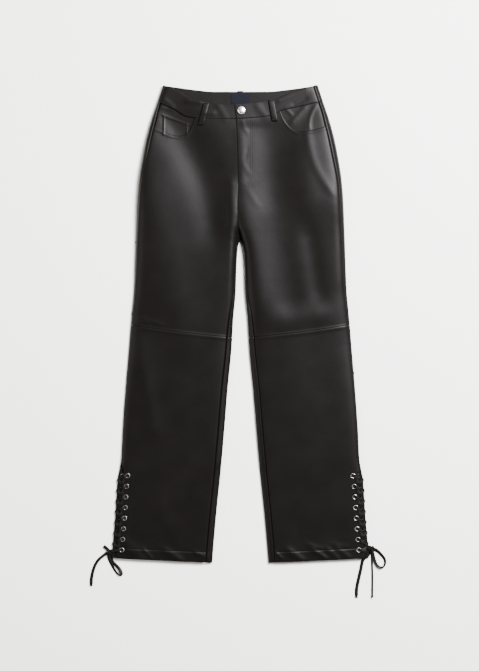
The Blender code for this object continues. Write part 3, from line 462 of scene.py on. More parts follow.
def slit(height):
    """1 where the side is slit, 0 above the slit."""
    return 1 - smooth_step((height - SLIT_TOP + SLIT_BLEND) / SLIT_BLEND)


def edges(side, front, height):
    """Outer and inner edge of one side of the garment, as distances from the middle line."""
    middle = side * curve(MIDDLE, "x", height) if front else 0.0
    return curve(OUTER, "edge", height), np.where(height < CROTCH, curve(INNER, "edge", height), middle)


def ridges(rows, x, height):
    """The sum of soft ridges: each is a bell across its line that fades beyond the line's ends."""
    total = 0.0
    for x0, height0, x1, height1, width, rise, bow in zip(*rows.values(), strict=True):
        length = math.hypot(x1 - x0, height1 - height0)
        along = ((x - x0) * (x1 - x0) + (height - height0) * (height1 - height0)) / length
        across = ((x - x0) * (height1 - height0) - (height - height0) * (x1 - x0)) / length
        across = across - bow * (1 - (2 * np.clip(along / length, -0.2, 1.2) - 1) ** 2)
        beyond = np.maximum(np.maximum(-along, along - length), 0.0)
        total = total + rise * np.exp(-((across / width) ** 2) - (beyond / (1.5 * width)) ** 2)
    return total


def lap(height, foot, fly, waistband):
    """Nothing below the foot of the fly, one value along it and another at the waistband."""
    along = fly + (waistband - fly) * smooth_step((height - WAISTBAND_STEP) / WAISTBAND_STEP_EASE)
    return along * smooth_step((height - foot) / FLY_EASE)


def arch_foot(side, height):
    """The inner edge that the arch comes down to: the front's own, but eased past the crotch."""
    leg = curve(INNER, "edge", np.minimum(height, CROTCH - CROTCH_EASE))
    middle = side * curve(MIDDLE, "x", np.maximum(height, CROTCH + CROTCH_EASE))
    return leg + (middle - leg) * smooth_step((height - CROTCH) / (2 * CROTCH_EASE) + 0.5)


def seam_relief(side, x, height):
    """What sewing does to a front: the shin's turned edge stands up below the knee seam, and the hem is a
    flat roll between its edge and its row of stitches, which draw the cloth in."""
    below_knee = curve(KNEE, "height", x) - height
    raised = smooth_step(below_knee / KNEE_TURN_EDGE) * (1 - smooth_step(below_knee / KNEE_TURN - 0.6))
    turned = KNEE_TURN_RISE * raised
    welt = KNEE_WELT * np.exp(-(((below_knee + KNEE_WELT_ABOVE) / KNEE_WELT_REACH) ** 2))
    above_hem = height - curve(HEM, "height", x)
    roll = HEM_ROLL * (1 - smooth_step((above_hem - HEM_DEPTH + HEM_ROLL_BELOW) / HEM_ROLL_EASE))
    drawn_in = -HEM_PULL * np.exp(-(((above_hem - HEM_DEPTH) / HEM_PULL_REACH) ** 2))
    below_mouth = curve(POCKET_MOUTH[side], "height", x) - height
    past_end = smooth_step((x - POCKET_MOUTH[side]["x"][0]) / MOUTH_ROLL_START)
    bell = np.exp(-(((below_mouth - MOUTH_ROLL_BELOW) / MOUTH_ROLL_REACH) ** 2))
    mouth = MOUTH_ROLL * past_end * (below_mouth > 0) * bell
    return turned * (below_knee > 0) + welt + roll + drawn_in + mouth


def groove(side, x, height):
    """How deep the seams at the two folds draw the cloth in: most along the inseam, below the thigh."""
    outer, inner = edges(side, True, height)
    from_inseam = x - inner - curve(ROLL, "inseam", height)
    from_side = x - outer + side_roll(side, height)
    shin = 1 - smooth_step((height - INSEAM_GROOVE_TOP) / INSEAM_GROOVE_EASE)
    above_slit = smooth_step((height - SLIT_TOP) / SIDE_GROOVE_EASE)
    return (
        INSEAM_GROOVE * shin * np.exp(-((from_inseam / GROOVE_REACH) ** 2))
        + SIDE_GROOVE * above_slit * np.exp(-((from_side / GROOVE_REACH) ** 2))
    )


def front_z(side, x, height):
    """The front's outer face: an arch between the side folds, with its ridges, seams and the fly's lap."""
    outer, inner = curve(OUTER, "edge", height), arch_foot(side, height)
    across = np.clip((2 * x - outer - inner) / (outer - inner), -1, 1)
    rise = curve(CROWN, "top", height) - SIDE_HEIGHT
    least = FOLD_RADIUS * (outer - inner) / rise**2
    outer_power, inner_power = (
        np.maximum(curve(CROWN, f"{end}_power", height), least) for end in ("outer", "inner")
    )
    valley = curve(CROWN, "valley", height)
    to_side = np.sqrt(1 - np.maximum(across, 0) ** outer_power)
    to_middle = np.sqrt(np.maximum(1 - valley * np.maximum(-across, 0) ** inner_power, 0))
    inside = 1 - np.where(across > 0, 1, valley) * across**8
    z = SIDE_HEIGHT + rise * to_side * to_middle + inside * ridges(FOLDS, side * x, height)
    z = z + (1 - across**8) * seam_relief(side, x, height) - groove(side, x, height)
    if side == LEFT:
        reach = FLY_REACH + (LAP_REACH - FLY_REACH) * smooth_step((height - FLY_FOOT) / REACH_EASE)
        raised = 1 - smooth_step((x - inner) / reach)
        z = z + lap(height, FLY_FOOT, FLY_RISE, WAISTBAND_RISE) * raised
    return z


def angle_at(side, front, x, height):
    """The angle round the leg's section at a distance from the middle line; 0 is the outer fold."""
    outer, inner = edges(side, front, height)
    return np.arccos(np.clip((2 * x - outer - inner) / (outer - inner), -1, 1))


def front_place(side, angle, height):
    """A point of the front's outer face, at an angle from 0 to pi round the leg's section."""
    outer, inner = edges(side, True, height)
    x = (outer + inner) / 2 + (outer - inner) / 2 * np.cos(angle)
    if side == RIGHT:
        run_on = lap(height, UNDERLAP_FOOT, FLY_LAP, WAISTBAND_LAP)
        x = x - run_on * smooth_step((angle - UNDERLAP_TURN) / (math.pi - UNDERLAP_TURN))
    return x, front_z(side, x, height)


def side_roll(side, height):
    """How far the middle of the side seam lies in from the outline."""
    return curve(ROLL, "right_side" if side == RIGHT else "left_side", height)


def front_turns(side, height):
    """Angles of the two seams of a front."""
    outer, inner = edges(side, True, height)
    roll = side_roll(side, height)
    inset = roll + (FRONT_FLAP_INSET - roll) * slit(height)
    start = angle_at(side, True, outer - inset - SEAM / 2, height)
    to_seam = np.where(height < CROTCH, curve(ROLL, "inseam", height), 0.0)
    return start, angle_at(side, True, inner + to_seam + SEAM / 2, height)


def surface(side, turns, place, rows):
    """The point at share u of the way between two seams, on row v; rows run at heights that depend on x."""

    def at(u, v):
        height = rows(MID_LEG + 0 * u, v)
        for _ in range(8):
            start, end = turns(side, height)
            x, z = place(side, start + (end - start) * u, height)
            height = rows(x, v)
        return to_world(side, np.stack([x, height, z], axis=-1))

    return at


def front_surface(side, rows):
    """A front's outer face from its side seam (u = 0) to its inner seam (u = 1)."""
    return surface(side, front_turns, front_place, rows)


def shin_rows(x, v):
    """A shin's rows, from the hem's edge (v = 0) to the knee seam (v = 1)."""
    foot = curve(HEM, "height", x)
    return foot + (curve(KNEE, "height", x) - SEAM / 2 - foot) * v


def front_top(side, x):
    """Where a front ends: at the waistband's seam or the pocket's mouth, whichever is lower."""
    return np.minimum(curve(FRONT_SEAM[side], "height", x), curve(POCKET_MOUTH[side], "height", x))


def to_crotch(x, v):
    """A thigh's rows below the crotch, from the knee seam (v = 0) to the crotch's level (v = 1)."""
    foot = curve(KNEE, "height", x) + SEAM / 2
    return foot + (CROTCH - foot) * np.minimum(v, 1)


def front_thigh_rows(side, x, v):
    """The whole thigh's rows; v = 2 is its upper edge."""
    return to_crotch(x, v) + (front_top(side, x) - SEAM / 2 - CROTCH) * np.maximum(v - 1, 0)


def between(foot, top):
    """Rows from one height curve to another."""
    return lambda x, v: foot(x) + (top(x) - foot(x)) * v


def shares(count, start=(), end=(), stop=1.0):
    """Evenly spaced shares from 0 to stop, with more of them near the two ends."""
    return np.unique(np.concatenate([np.linspace(0, stop, count), start, stop - np.array(end)]))


def hem_wall(point):
    """Thicker where the cloth is turned up at the hem, away from the tight fold of the inseam."""
    x, height = np.abs(point[..., 0]), point[..., 1] + LENGTH / 2
    above = height - curve(HEM, "height", x)
    from_fold = x - curve(INNER, "edge", height)
    below_stitches = 1 - smooth_step((above - HEM_DEPTH) / HEM_WALL_EASE)
    turned_up = below_stitches * smooth_step(from_fold / HEM_FOLD_CLEAR - 0.3)
    return WALL + (HEM_WALL - WALL) * turned_up


# How a cut or turned edge is rounded: over what width, how deep, and how much less so on the inner face.
ROUND_REACH, ROUND_DIP, INNER_ROUND = 0.0016, 0.00026, 0.6


def add_cloth(name, at, columns, rows, outwards, material, proud=0.0, thickness=WALL):
    """A closed wall of cloth over a grid of a surface, its outer face rounded down towards every edge. The
    way out of the face is the cross product of the surface's two directions, times outwards."""
    u, v = np.meshgrid(columns, rows)
    nudge = 1e-4  # of a share, to either side, for the surface's directions
    point = at(u, v)
    along_u, along_v = at(u + nudge, v) - at(u - nudge, v), at(u, v + nudge) - at(u, v - nudge)
    normal = unit(np.cross(along_u, along_v)) * outwards
    from_edge = []
    for axis in (0, 1):
        step = np.linalg.norm(np.diff(point, axis=axis), axis=-1)
        ahead = np.insert(np.cumsum(step, axis=axis), 0, 0, axis=axis)
        from_edge.append(np.minimum(ahead, np.take(ahead, [-1], axis=axis) - ahead))
    dip = ROUND_DIP * np.clip(1 - np.minimum(*from_edge) / ROUND_REACH, 0, 1) ** 2
    deep = thickness(point) if callable(thickness) else thickness + 0 * dip
    outer = point + normal * (proud - dip)[..., None]
    inner = point + normal * (proud - deep + dip * INNER_ROUND)[..., None]
    number = np.arange(u.size).reshape(u.shape)
    face = np.stack([number[:-1, :-1], number[:-1, 1:], number[1:, 1:], number[1:, :-1]], axis=-1)
    face = face.reshape(-1, 4)
    rim = np.concatenate([number[0, :-1], number[:-1, -1], number[-1, :0:-1], number[:0:-1, 0]])
    after = np.roll(rim, -1)
    wall = np.stack([after, rim, rim + u.size, after + u.size], axis=-1)
    if outwards < 0:
        face, wall = face[:, ::-1], wall[:, ::-1]
    faces = np.concatenate([face, face[:, ::-1] + u.size, wall])
    points = np.concatenate([outer.reshape(-1, 3), inner.reshape(-1, 3)])
    piece = add_mesh(name, points, faces.tolist(), material)
    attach(piece, "root")
    return piece


def faux_leather(name, colour, roughness):
    """Smooth coated cloth: a fine pebble grain from rounded cells, a slower orange-peel wave, a faint
    mottle in its gloss, and a touch of wear in its colour."""
    material, shader = new_material(name, colour, roughness)
    shader.inputs["Specular IOR Level"].default_value = 0.06
    where = add_node(material, "ShaderNodeTexCoord").outputs["Object"]
    pebbles = add_node(
        material, "ShaderNodeTexVoronoi", [("Vector", where), ("Scale", 620.0), ("Randomness", 0.9)],
        feature="SMOOTH_F1",
    )
    peel = add_node(material, "ShaderNodeTexNoise", [("Vector", where), ("Scale", 95.0), ("Detail", 2.0)])
    fine = add_node(
        material, "ShaderNodeBump",
        [("Height", pebbles.outputs["Distance"]), ("Strength", 0.25), ("Distance", 0.00030)], invert=True,
    )
    wave = add_node(
        material, "ShaderNodeBump",
        [
            ("Height", peel.outputs["Fac"]), ("Strength", 0.07), ("Distance", 0.0012),
            ("Normal", fine.outputs["Normal"]),
        ],
    )
    material.node_tree.links.new(wave.outputs["Normal"], shader.inputs["Normal"])
    mottle = add_node(material, "ShaderNodeTexNoise", [("Vector", where), ("Scale", 22.0), ("Detail", 4.0)])
    uneven = 0.045  # of roughness, either way
    gloss = add_node(
        material, "ShaderNodeMapRange",
        [("Value", mottle.outputs["Fac"]), ("To Min", roughness - uneven), ("To Max", roughness + uneven)],
    )
    material.node_tree.links.new(gloss.outputs["Result"], shader.inputs["Roughness"])
    lighter = tuple(1.5 * value for value in colour)
    tint = add_node(
        material, "ShaderNodeMix",
        [("Factor", mottle.outputs["Fac"]), (6, (*colour, 1)), (7, (*lighter, 1))], data_type="RGBA",
    )
    material.node_tree.links.new(tint.outputs[2], shader.inputs["Base Color"])
    return material


LEATHER_COLOUR = (0.0025, 0.0020, 0.0019)
front_leather = faux_leather("front leather", LEATHER_COLOUR, 0.36)
FRONT_COLUMNS = shares(
    118, (0.0012, 0.0024, 0.0036, 0.0055, 0.0075), (0.001, 0.0025, 0.004, 0.006, 0.008, 0.0105, 0.013)
)
SHIN_ROWS = shares(170, np.linspace(0, 0.062, 28), (0.0009, 0.0022, 0.0045, 0.008, 0.012, 0.016))
THIGH_ROWS = shares(200, (0.0015, 0.003, 0.006), (0.001, 0.002, 0.0035), stop=2.0)

for word, side in SIDES.items():
    thigh = front_surface(side, lambda x, v: front_thigh_rows(side, x, v))
    for part, at, rows, wall in (
        ("thigh", thigh, THIGH_ROWS, WALL),
        ("shin", front_surface(side, shin_rows), SHIN_ROWS, hem_wall),
    ):
        panel = add_cloth(f"{part}_front_{word}", at, FRONT_COLUMNS, rows, -side, front_leather, thickness=wall)
        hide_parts(f"front_{part}_{word}")

# ---------------------------------------------------------------- the backs
# The backs are cut wider than the fronts. They lie flat on the ground and roll round the folds onto the
# front, along the side seam over the hip and along the inseam below the knee.

LOOP_WIDTH, LOOP_WALL, LOOP_ROOM = 0.0120, 0.0014, 0.0024
WAISTBAND_PROUD, PROUD_FOOT, PROUD_EASE = 0.0004, 0.975, 0.010
FLAP_EDGE = 0.05  # the angle at which a back flap ends, past the fold
FLAP_REACH, FLAP_EASE = 0.042, 0.024
FOLD_FADE = 0.030  # above the crotch, over which the inner fold runs out
OVER_LOOP_FOOT, OVER_LOOP_EASE = 0.938, 0.018  # where the back comes up to lie over the belt loop
MOUTH_END = 0.186
BACK_SEAM = table("x height", (0.00, 0.9913), (0.06, 0.9915), (0.10, 0.9953), (0.14, 1.0000), (0.185, 1.0070))
# Where the underside stands a little off the ground, in the way of FOLDS.
LIFTS = table(
    "x height to_x to_height width rise bow",
    (-0.170, 0.860, -0.060, 0.760, 0.020, 0.0014, 0.010),
    (0.060, 0.840, 0.175, 0.790, 0.018, 0.0016, -0.008),
    (-0.190, 0.640, -0.080, 0.600, 0.022, 0.0012, 0.006),
    (0.080, 0.560, 0.180, 0.580, 0.020, 0.0013, 0.006),
    (-0.200, 0.300, -0.110, 0.360, 0.024, 0.0010, 0.0),
    (0.110, 0.260, 0.200, 0.330, 0.022, 0.0010, 0.0),
)


def back_z(side, x, height):
    """The back's outer face: flat on the ground, curled up at the folds, lifted by laces and belt loop."""
    outer, inner = edges(LEFT, False, height)
    to_side = np.clip((x - outer) / FOLD_DEPTH + 1, 0, 1)
    to_inner = np.clip((inner - x) / FOLD_DEPTH + 1, 0, 1)
    fade = np.clip(1 - (height - CROTCH) / FOLD_FADE, 0, 1) ** 2
    round_fold = 1 - np.sqrt(1 - to_inner**2)
    inner_fold = np.where(height < CROTCH - 0.010, round_fold, to_inner**2 * fade)
    z = SIDE_HEIGHT * (inner_fold + (1 - np.sqrt(1 - to_side**2)) * (1 - slit(height)))
    z = z + BACK_FLAP_LIFT * smooth_step((x - outer + FLAP_REACH) / FLAP_EASE) * slit(height)
    z = z + WAISTBAND_PROUD * smooth_step((height - PROUD_FOOT) / PROUD_EASE)
    across = np.clip((2 * x - outer - inner) / (outer - inner), -1, 1)
    over_loop = (1 - np.maximum(across, 0) ** 6) * smooth_step((height - OVER_LOOP_FOOT) / OVER_LOOP_EASE)
    return z + (SEAM + LOOP_WALL) * over_loop + (1 - across**4) * ridges(LIFTS, side * x, height)


def back_place(side, angle, height):
    """A point of the back's outer face; where its angle passes 0 or -pi it lies on the front's side."""
    outer, inner = edges(side, False, height)
    x = (outer + inner) / 2 + (outer - inner) / 2 * np.cos(angle)
    rolled_over = front_z(side, x, height) - (SIDE_HEIGHT - BACK_FLAP_LIFT) * slit(height)
    return x, np.where(np.sin(angle) > 0, rolled_over, back_z(side, x, height))


def back_turns(side, height):
    """Angles of the two seams of a back, which goes right round the leg's two folds."""
    outer, inner = edges(side, False, height)
    start = angle_at(side, False, outer - side_roll(side, height) + SEAM / 2, height)
    start = start * (1 - slit(height)) - FLAP_EDGE * slit(height)
    inseam = angle_at(side, False, inner + curve(ROLL, "inseam", height) - SEAM / 2, height)
    at_middle = angle_at(side, False, inner + SEAM / 2, height)
    return start, np.where(height < CROTCH, inseam - 2 * math.pi, -at_middle)


def back_surface(side, rows):
    """A back's outer face from its side seam (u = 0) under the leg to its inner seam (u = 1)."""
    return surface(side, back_turns, back_place, rows)


def back_thigh_rows(side, x, v):
    """Level with the front's rows along the side seam, with one more stretch above the pocket's mouth."""
    mouth_end = front_top(side, np.maximum(x, MOUTH_END)) - SEAM / 2
    top = curve(BACK_SEAM, "height", x) - SEAM / 2
    to_mouth = (mouth_end - CROTCH) * np.clip(v - 1, 0, 1)
    return to_crotch(x, v) + to_mouth + (top - mouth_end) * np.maximum(v - 2, 0)


back_leather = faux_leather("back leather", LEATHER_COLOUR, 0.38)
SIDE_FOLD_END, INNER_FOLD_START = 0.12, 0.72  # shares of a back's width
BACK_COLUMNS = np.unique(np.concatenate([
    np.linspace(0, SIDE_FOLD_END, 17), np.linspace(SIDE_FOLD_END, INNER_FOLD_START, 52),
    np.linspace(INNER_FOLD_START, 1, 42), 1 - np.array([0.0015, 0.003, 0.0045, 0.009, 0.012]),
]))
BACK_SHIN_ROWS = shares(130, np.linspace(0, 0.06, 16), (0.002, 0.006, 0.012))
BACK_THIGH_ROWS = shares(170, (0.002, 0.005), (0.001, 0.003), stop=3.0)

for word, side in SIDES.items():
    thigh = back_surface(side, lambda x, v: back_thigh_rows(side, x, v))
    for part, at, rows, wall in (
        ("thigh", thigh, BACK_THIGH_ROWS, WALL),
        ("shin", back_surface(side, shin_rows), BACK_SHIN_ROWS, hem_wall),
    ):
        panel = add_cloth(f"{part}_back_{word}", at, BACK_COLUMNS, rows, side, back_leather, thickness=wall)
        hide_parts(f"back_{part}_{word}")

# ---------------------------------------------------------------- the waistband
# A doubled strip 36 mm wide, stitched along both edges. Its back half stands above the front one, so that
# its inner face shows; the left end laps over the right one under the button.

WAISTBAND_WALL = 0.0021
FRONT_EDGE = {
    RIGHT: table("x height", (0.00, 0.9970), (0.05, 1.0000), (0.085, 1.0055), (0.108, 1.0122),
                 (0.128, 1.0239), (0.15, 1.0340), (0.169, 1.0420)),
    LEFT: table("x height", (0.00, 1.0000), (0.02, 1.0015), (0.07, 1.0090), (0.093, 1.0176),
                (0.111, 1.0265), (0.14, 1.0345), (0.169, 1.0420)),
}
BACK_EDGE = table("x height", (0.00, 1.0283), (0.06, 1.0285), (0.10, 1.0323), (0.14, 1.0377), (0.169, 1.0420))
band_leather = faux_leather("waistband leather", tuple(1.1 * value for value in LEATHER_COLOUR), 0.35)
BAND_ROWS = shares(20, (0.01, 0.025, 0.06), (0.01, 0.025, 0.06))
MIDDLE_EASE = 0.004  # the share of the back waistband over which its halves run into one

for word, side in SIDES.items():
    at = front_surface(side, between(
        lambda x: curve(FRONT_SEAM[side], "height", x) + SEAM / 2,
        lambda x: curve(FRONT_EDGE[side], "height", x),
    ))
    band = add_cloth(
        f"band_{word}", at, FRONT_COLUMNS, BAND_ROWS, -side, band_leather, WAISTBAND_PROUD, WAISTBAND_WALL
    )
    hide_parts(f"waistband_{word}")


def whole_back(u, v):
    """Both halves of the back waistband in one: u runs from -1 at the right side seam to 1 at the left."""
    rows = between(lambda x: curve(BACK_SEAM, "height", x) + SEAM / 2, lambda x: curve(BACK_EDGE, "height", x))
    share = np.clip(1 - np.abs(u), 0, 1)
    right, left = (back_surface(side, rows)(share, v) for side in (RIGHT, LEFT))
    middle = smooth_step(0.5 + u / MIDDLE_EASE)[..., None]
    return right * (1 - middle) + left * middle


half_columns = 1 - BACK_COLUMNS[BACK_COLUMNS < 1 - MIDDLE_EASE / 2]
WHOLE_COLUMNS = np.unique(np.concatenate([-half_columns, half_columns]))
band = add_cloth(
    "band_back", whole_back, WHOLE_COLUMNS, BAND_ROWS, -1, band_leather, WAISTBAND_PROUD, WAISTBAND_WALL
)
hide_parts("waistband_back")

# ---------------------------------------------------------------- the pockets
# A curved mouth is cut out of each front over the hip, and shows the facing that carries the pocket's bag
# behind it. A small coin pocket is sewn on the right one.

LAYER = WALL + 2 * SEAM
FACING_FOOT, FACING_DEPTH = 0.920, {RIGHT: 2 * LAYER, LEFT: LAYER}
FACING_COLUMNS = shares(64, (0.0012, 0.0024), (0.002,), stop=0.54)
FACING_ROWS = shares(56, (0.01,), (0.006, 0.012))
COIN_POCKET_FOOT = 0.928
COIN_POCKET_EDGE = table("x height", (0.1147, 0.9579), (0.1687, 0.9775))
# The facings and the coin pocket are the same faux leather as the fronts. Their colour is made 1.3 times
# lighter, as a painted highlight.
pocket_leather_painted_lighter = faux_leather("pocket leather", tuple(1.3 * value for value in LEATHER_COLOUR), 0.38)

for word, side in SIDES.items():
    at = front_surface(side, between(
        lambda x: FACING_FOOT + 0 * x,
        lambda x: curve(FRONT_SEAM[side], "height", x) - SEAM / 2,
    ))
    facing = add_cloth(
        f"facing_{word}", at, FACING_COLUMNS, FACING_ROWS, -side, pocket_leather_painted_lighter, -FACING_DEPTH[side]
    )
    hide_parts(f"pocket_facing_{word}")


def coin_turns(side, height):
    """Angles of the coin pocket's two sides."""
    inner, outer = COIN_POCKET_EDGE["x"]
    return angle_at(side, True, outer, height), angle_at(side, True, inner, height)


coin_rows = between(lambda x: COIN_POCKET_FOOT + 0 * x, lambda x: curve(COIN_POCKET_EDGE, "height", x))
COIN_COLUMNS, COIN_ROWS = shares(30, (0.01, 0.025), (0.01, 0.025)), shares(26, (0.01,), (0.01, 0.025))
coin = add_cloth(
    "small_pocket", surface(RIGHT, coin_turns, front_place, coin_rows), COIN_COLUMNS, COIN_ROWS, -RIGHT,
    pocket_leather_painted_lighter, -LAYER,
)
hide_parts("coin_pocket")

# ---------------------------------------------------------------- the belt loops
# Folded strips 12 mm wide, bar-tacked to the waistband's top edge and to the front below it, with room for
# a belt beneath. One more stands behind the middle of the back waistband.

FRONT_LOOPS = {
    RIGHT: {"top": (0.0741, 1.0023), "foot": (0.0861, 0.9537), "length": 0.0515},
    LEFT: {"top": (0.0665, 1.0085), "foot": (0.0750, 0.9616), "length": 0.0490},
}
LOOP_CROWN = 0.0003
BACK_LOOP_FOOT, BACK_LOOP_TOP, BACK_LOOP_LIFT, BACK_LOOP_CURL = 0.9780, 1.0305, 0.0002, 0.0004
loop_leather = faux_leather("belt loop leather", LEATHER_COLOUR, 0.36)
LOOP_COLUMNS = shares(11, (0.02, 0.05), (0.02, 0.05))
LOOP_ROWS = shares(44, (0.005, 0.012), (0.005, 0.012))


def loop_face(side, ends):
    """A loop's outer face along the line between its ends, raised between them like a flat arch."""

    def at(u, v):
        x = ends["foot"][0] + (ends["top"][0] - ends["foot"][0]) * v + (0.5 - u) * LOOP_WIDTH
        height = ends["foot"][1] + (ends["top"][1] - ends["foot"][1]) * v
        crown = LOOP_CROWN * (1 - (2 * u - 1) ** 2)
        rise = LOOP_ROOM * np.sqrt(np.maximum(1 - (2 * np.clip(v, 0, 1) - 1) ** 4, 0))
        z = front_z(side, x, height) + WAISTBAND_PROUD + SEAM + LOOP_WALL + rise + crown
        return to_world(side, np.stack([x, height, z], axis=-1))

    return at


for word, side in SIDES.items():
    at = loop_face(side, FRONT_LOOPS[side])
    loop = add_cloth(
        f"loop_front_{word}", at, LOOP_COLUMNS, LOOP_ROWS, -side, loop_leather, thickness=LOOP_WALL
    )
    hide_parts(f"belt_loop_front_{word}")


def back_loop_face(u, v):
    """Flat on the ground, its top end curled over a little."""
    height = BACK_LOOP_FOOT + (BACK_LOOP_TOP - BACK_LOOP_FOOT) * v
    z = BACK_LOOP_LIFT + BACK_LOOP_CURL * v**6
    return to_world(LEFT, np.stack([(u - 0.5) * LOOP_WIDTH, height, z], axis=-1))


loop = add_cloth(
    "loop_back", back_loop_face, LOOP_COLUMNS, LOOP_ROWS, -1, loop_leather,
    thickness=LOOP_WALL - BACK_LOOP_LIFT,
)
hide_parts("belt_loop_back")

# ---------------------------------------------------------------- the label
# A bare woven label, 42 by 22 mm, dark blue, sewn to the inside of the back waistband at both ends.

LABEL_WIDTH, LABEL_WALL = 0.0420, 0.0005
LABEL_FOOT, LABEL_TOP, LABEL_BILLOW = 1.0020, 1.0240, 0.0003
label_cloth, shader = new_material("label cloth", (0.003, 0.0034, 0.0058), 0.72)
shader.inputs["Specular IOR Level"].default_value = 0.06
where = add_node(label_cloth, "ShaderNodeTexCoord").outputs["Object"]
threads = [
    add_node(
        label_cloth, "ShaderNodeTexWave",
        [("Vector", where), ("Scale", 620.0), ("Distortion", 0.6), ("Detail", 1.0)], bands_direction=axis,
    ).outputs["Fac"]
    for axis in ("X", "Y")
]
weave = add_node(label_cloth, "ShaderNodeMath", [(0, threads[0]), (1, threads[1])], operation="MULTIPLY")
relief = add_node(
    label_cloth, "ShaderNodeBump",
    [("Height", weave.outputs["Value"]), ("Strength", 0.5), ("Distance", 0.0003)],
)
label_cloth.node_tree.links.new(relief.outputs["Normal"], shader.inputs["Normal"])
tint = add_node(
    label_cloth, "ShaderNodeMix",
    [("Factor", weave.outputs["Value"]), (6, (0.0024, 0.0028, 0.0050, 1)), (7, (0.0055, 0.0065, 0.0110, 1))],
    data_type="RGBA",
)
label_cloth.node_tree.links.new(tint.outputs[2], shader.inputs["Base Color"])


def inside_band_z(x, height):
    """The inner face of the back waistband, which looks up."""
    return back_z(LEFT, np.abs(x), height) + WAISTBAND_WALL - WAISTBAND_PROUD


def label_face(u, v):
    """The label's upper face, billowing a little between its two sewn ends."""
    x, height = (u - 0.5) * LABEL_WIDTH, LABEL_FOOT + (LABEL_TOP - LABEL_FOOT) * v
    billow = LABEL_BILLOW * (1 - (2 * u - 1) ** 4) * (1 + 0.5 * np.sin(9 * u + 2 * v))
    return to_world(LEFT, np.stack([x, height, inside_band_z(x, height) + SEAM + LABEL_WALL + billow], axis=-1))


LABEL_COLUMNS, LABEL_ROWS = shares(44, (0.01,), (0.01,)), shares(22, (0.02,), (0.02,))
label = add_cloth(
    "bare_label", label_face, LABEL_COLUMNS, LABEL_ROWS, 1, label_cloth, thickness=LABEL_WALL
)
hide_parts("label")

# ---------------------------------------------------------------- the button
# A plain domed shank button of polished white metal, 16 mm across, riveted through the waistband.

BUTTON_X, BUTTON_HEIGHT, BUTTON_SIDES = 0.0022, 0.9850, 64
BUTTON_PROFILE = (
    (0.0000, 0.0002), (0.0030, 0.0002), (0.0030, 0.0013), (0.0070, 0.0014), (0.0078, 0.0017), (0.0082, 0.0023),
    (0.0081, 0.0028), (0.0077, 0.0032), (0.0072, 0.0033), (0.0069, 0.0032), (0.0066, 0.0033), (0.0058, 0.0037),
    (0.0045, 0.0040), (0.0030, 0.0042), (0.0015, 0.0043), (0.0000, 0.0043),
)
button_metal, shader = new_material("button metal", (0.86, 0.85, 0.83), 0.24, metallic=1.0)
where = add_node(button_metal, "ShaderNodeTexCoord").outputs["Object"]
scuffs = add_node(button_metal, "ShaderNodeTexNoise", [("Vector", where), ("Scale", 900.0), ("Detail", 4.0)])
gloss = add_node(
    button_metal, "ShaderNodeMapRange",
    [("Value", scuffs.outputs["Fac"]), ("To Min", 0.16), ("To Max", 0.34)],
)
button_metal.node_tree.links.new(gloss.outputs["Result"], shader.inputs["Roughness"])


def turned(profile, sides):
    """Points and faces of a closed profile of (radius, z) turned about the z axis."""
    radius, z = np.array(profile).T
    turn = np.linspace(0, 2 * math.pi, sides, endpoint=False)
    level = np.ones(sides)
    points = [np.outer(radius, np.cos(turn)), np.outer(radius, np.sin(turn)), np.outer(z, level)]
    return np.stack(points, axis=-1), np.arange(len(radius) * sides).reshape(len(radius), sides)


points, number = turned(BUTTON_PROFILE[1:-1], BUTTON_SIDES)
faces = np.stack([number[:-1], np.roll(number[:-1], -1, 1), np.roll(number[1:], -1, 1), number[1:]], axis=-1)
button_z = float(front_z(LEFT, BUTTON_X, BUTTON_HEIGHT)) + WAISTBAND_PROUD
button = add_mesh(
    "shank_button", points.reshape(-1, 3) + to_world(LEFT, (BUTTON_X, BUTTON_HEIGHT, button_z)),
    faces.reshape(-1, 4).tolist() + [number[0, ::-1].tolist(), number[-1].tolist()], button_metal,
)
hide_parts("button")
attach(button, "root")

# ---------------------------------------------------------------- the eyelets
# Nickelled two-part eyelets, 10 mm across, pressed through the flaps of each slit: eight in the front flap
# and eight in the back one. The flaps are drilled for them.

EYELET_SIDES = 32
EYELET_PROFILE = (
    (0.00412, -0.00060), (0.00412, 0.00030), (0.00418, 0.00058), (0.00434, 0.00076), (0.00458, 0.00082),
    (0.00484, 0.00074), (0.00503, 0.00054), (0.00515, 0.00028), (0.00519, 0.00008), (0.00510, 0.00002),
    (0.00436, 0.00002), (0.00430, -0.00060),
)
EYELET_HOLE, DRILL_REACH = 0.00433, 0.004
SLOPE_REACH = 0.004  # to either side of an eyelet, for the cloth's slope
eyelet_metal, shader = new_material("eyelet metal", (0.44, 0.44, 0.43), 0.26, metallic=1.0)
where = add_node(eyelet_metal, "ShaderNodeTexCoord").outputs["Object"]
scuffs = add_node(eyelet_metal, "ShaderNodeTexNoise", [("Vector", where), ("Scale", 1200.0), ("Detail", 3.0)])
gloss = add_node(
    eyelet_metal, "ShaderNodeMapRange",
    [("Value", scuffs.outputs["Fac"]), ("To Min", 0.20), ("To Max", 0.36)],
)
eyelet_metal.node_tree.links.new(gloss.outputs["Result"], shader.inputs["Roughness"])


def eyelet_place(side, front, row):
    """Own coordinates of an eyelet's middle on the cloth's outer face; row 0 is the lowest."""
    height = EYELET_FIRST + EYELET_PITCH * row
    x = curve(OUTER, "edge", height) - (FRONT_EYELET_INSET if front else BACK_EYELET_INSET)
    return np.array([x, height, front_z(side, x, height) if front else back_z(side, x, height)])


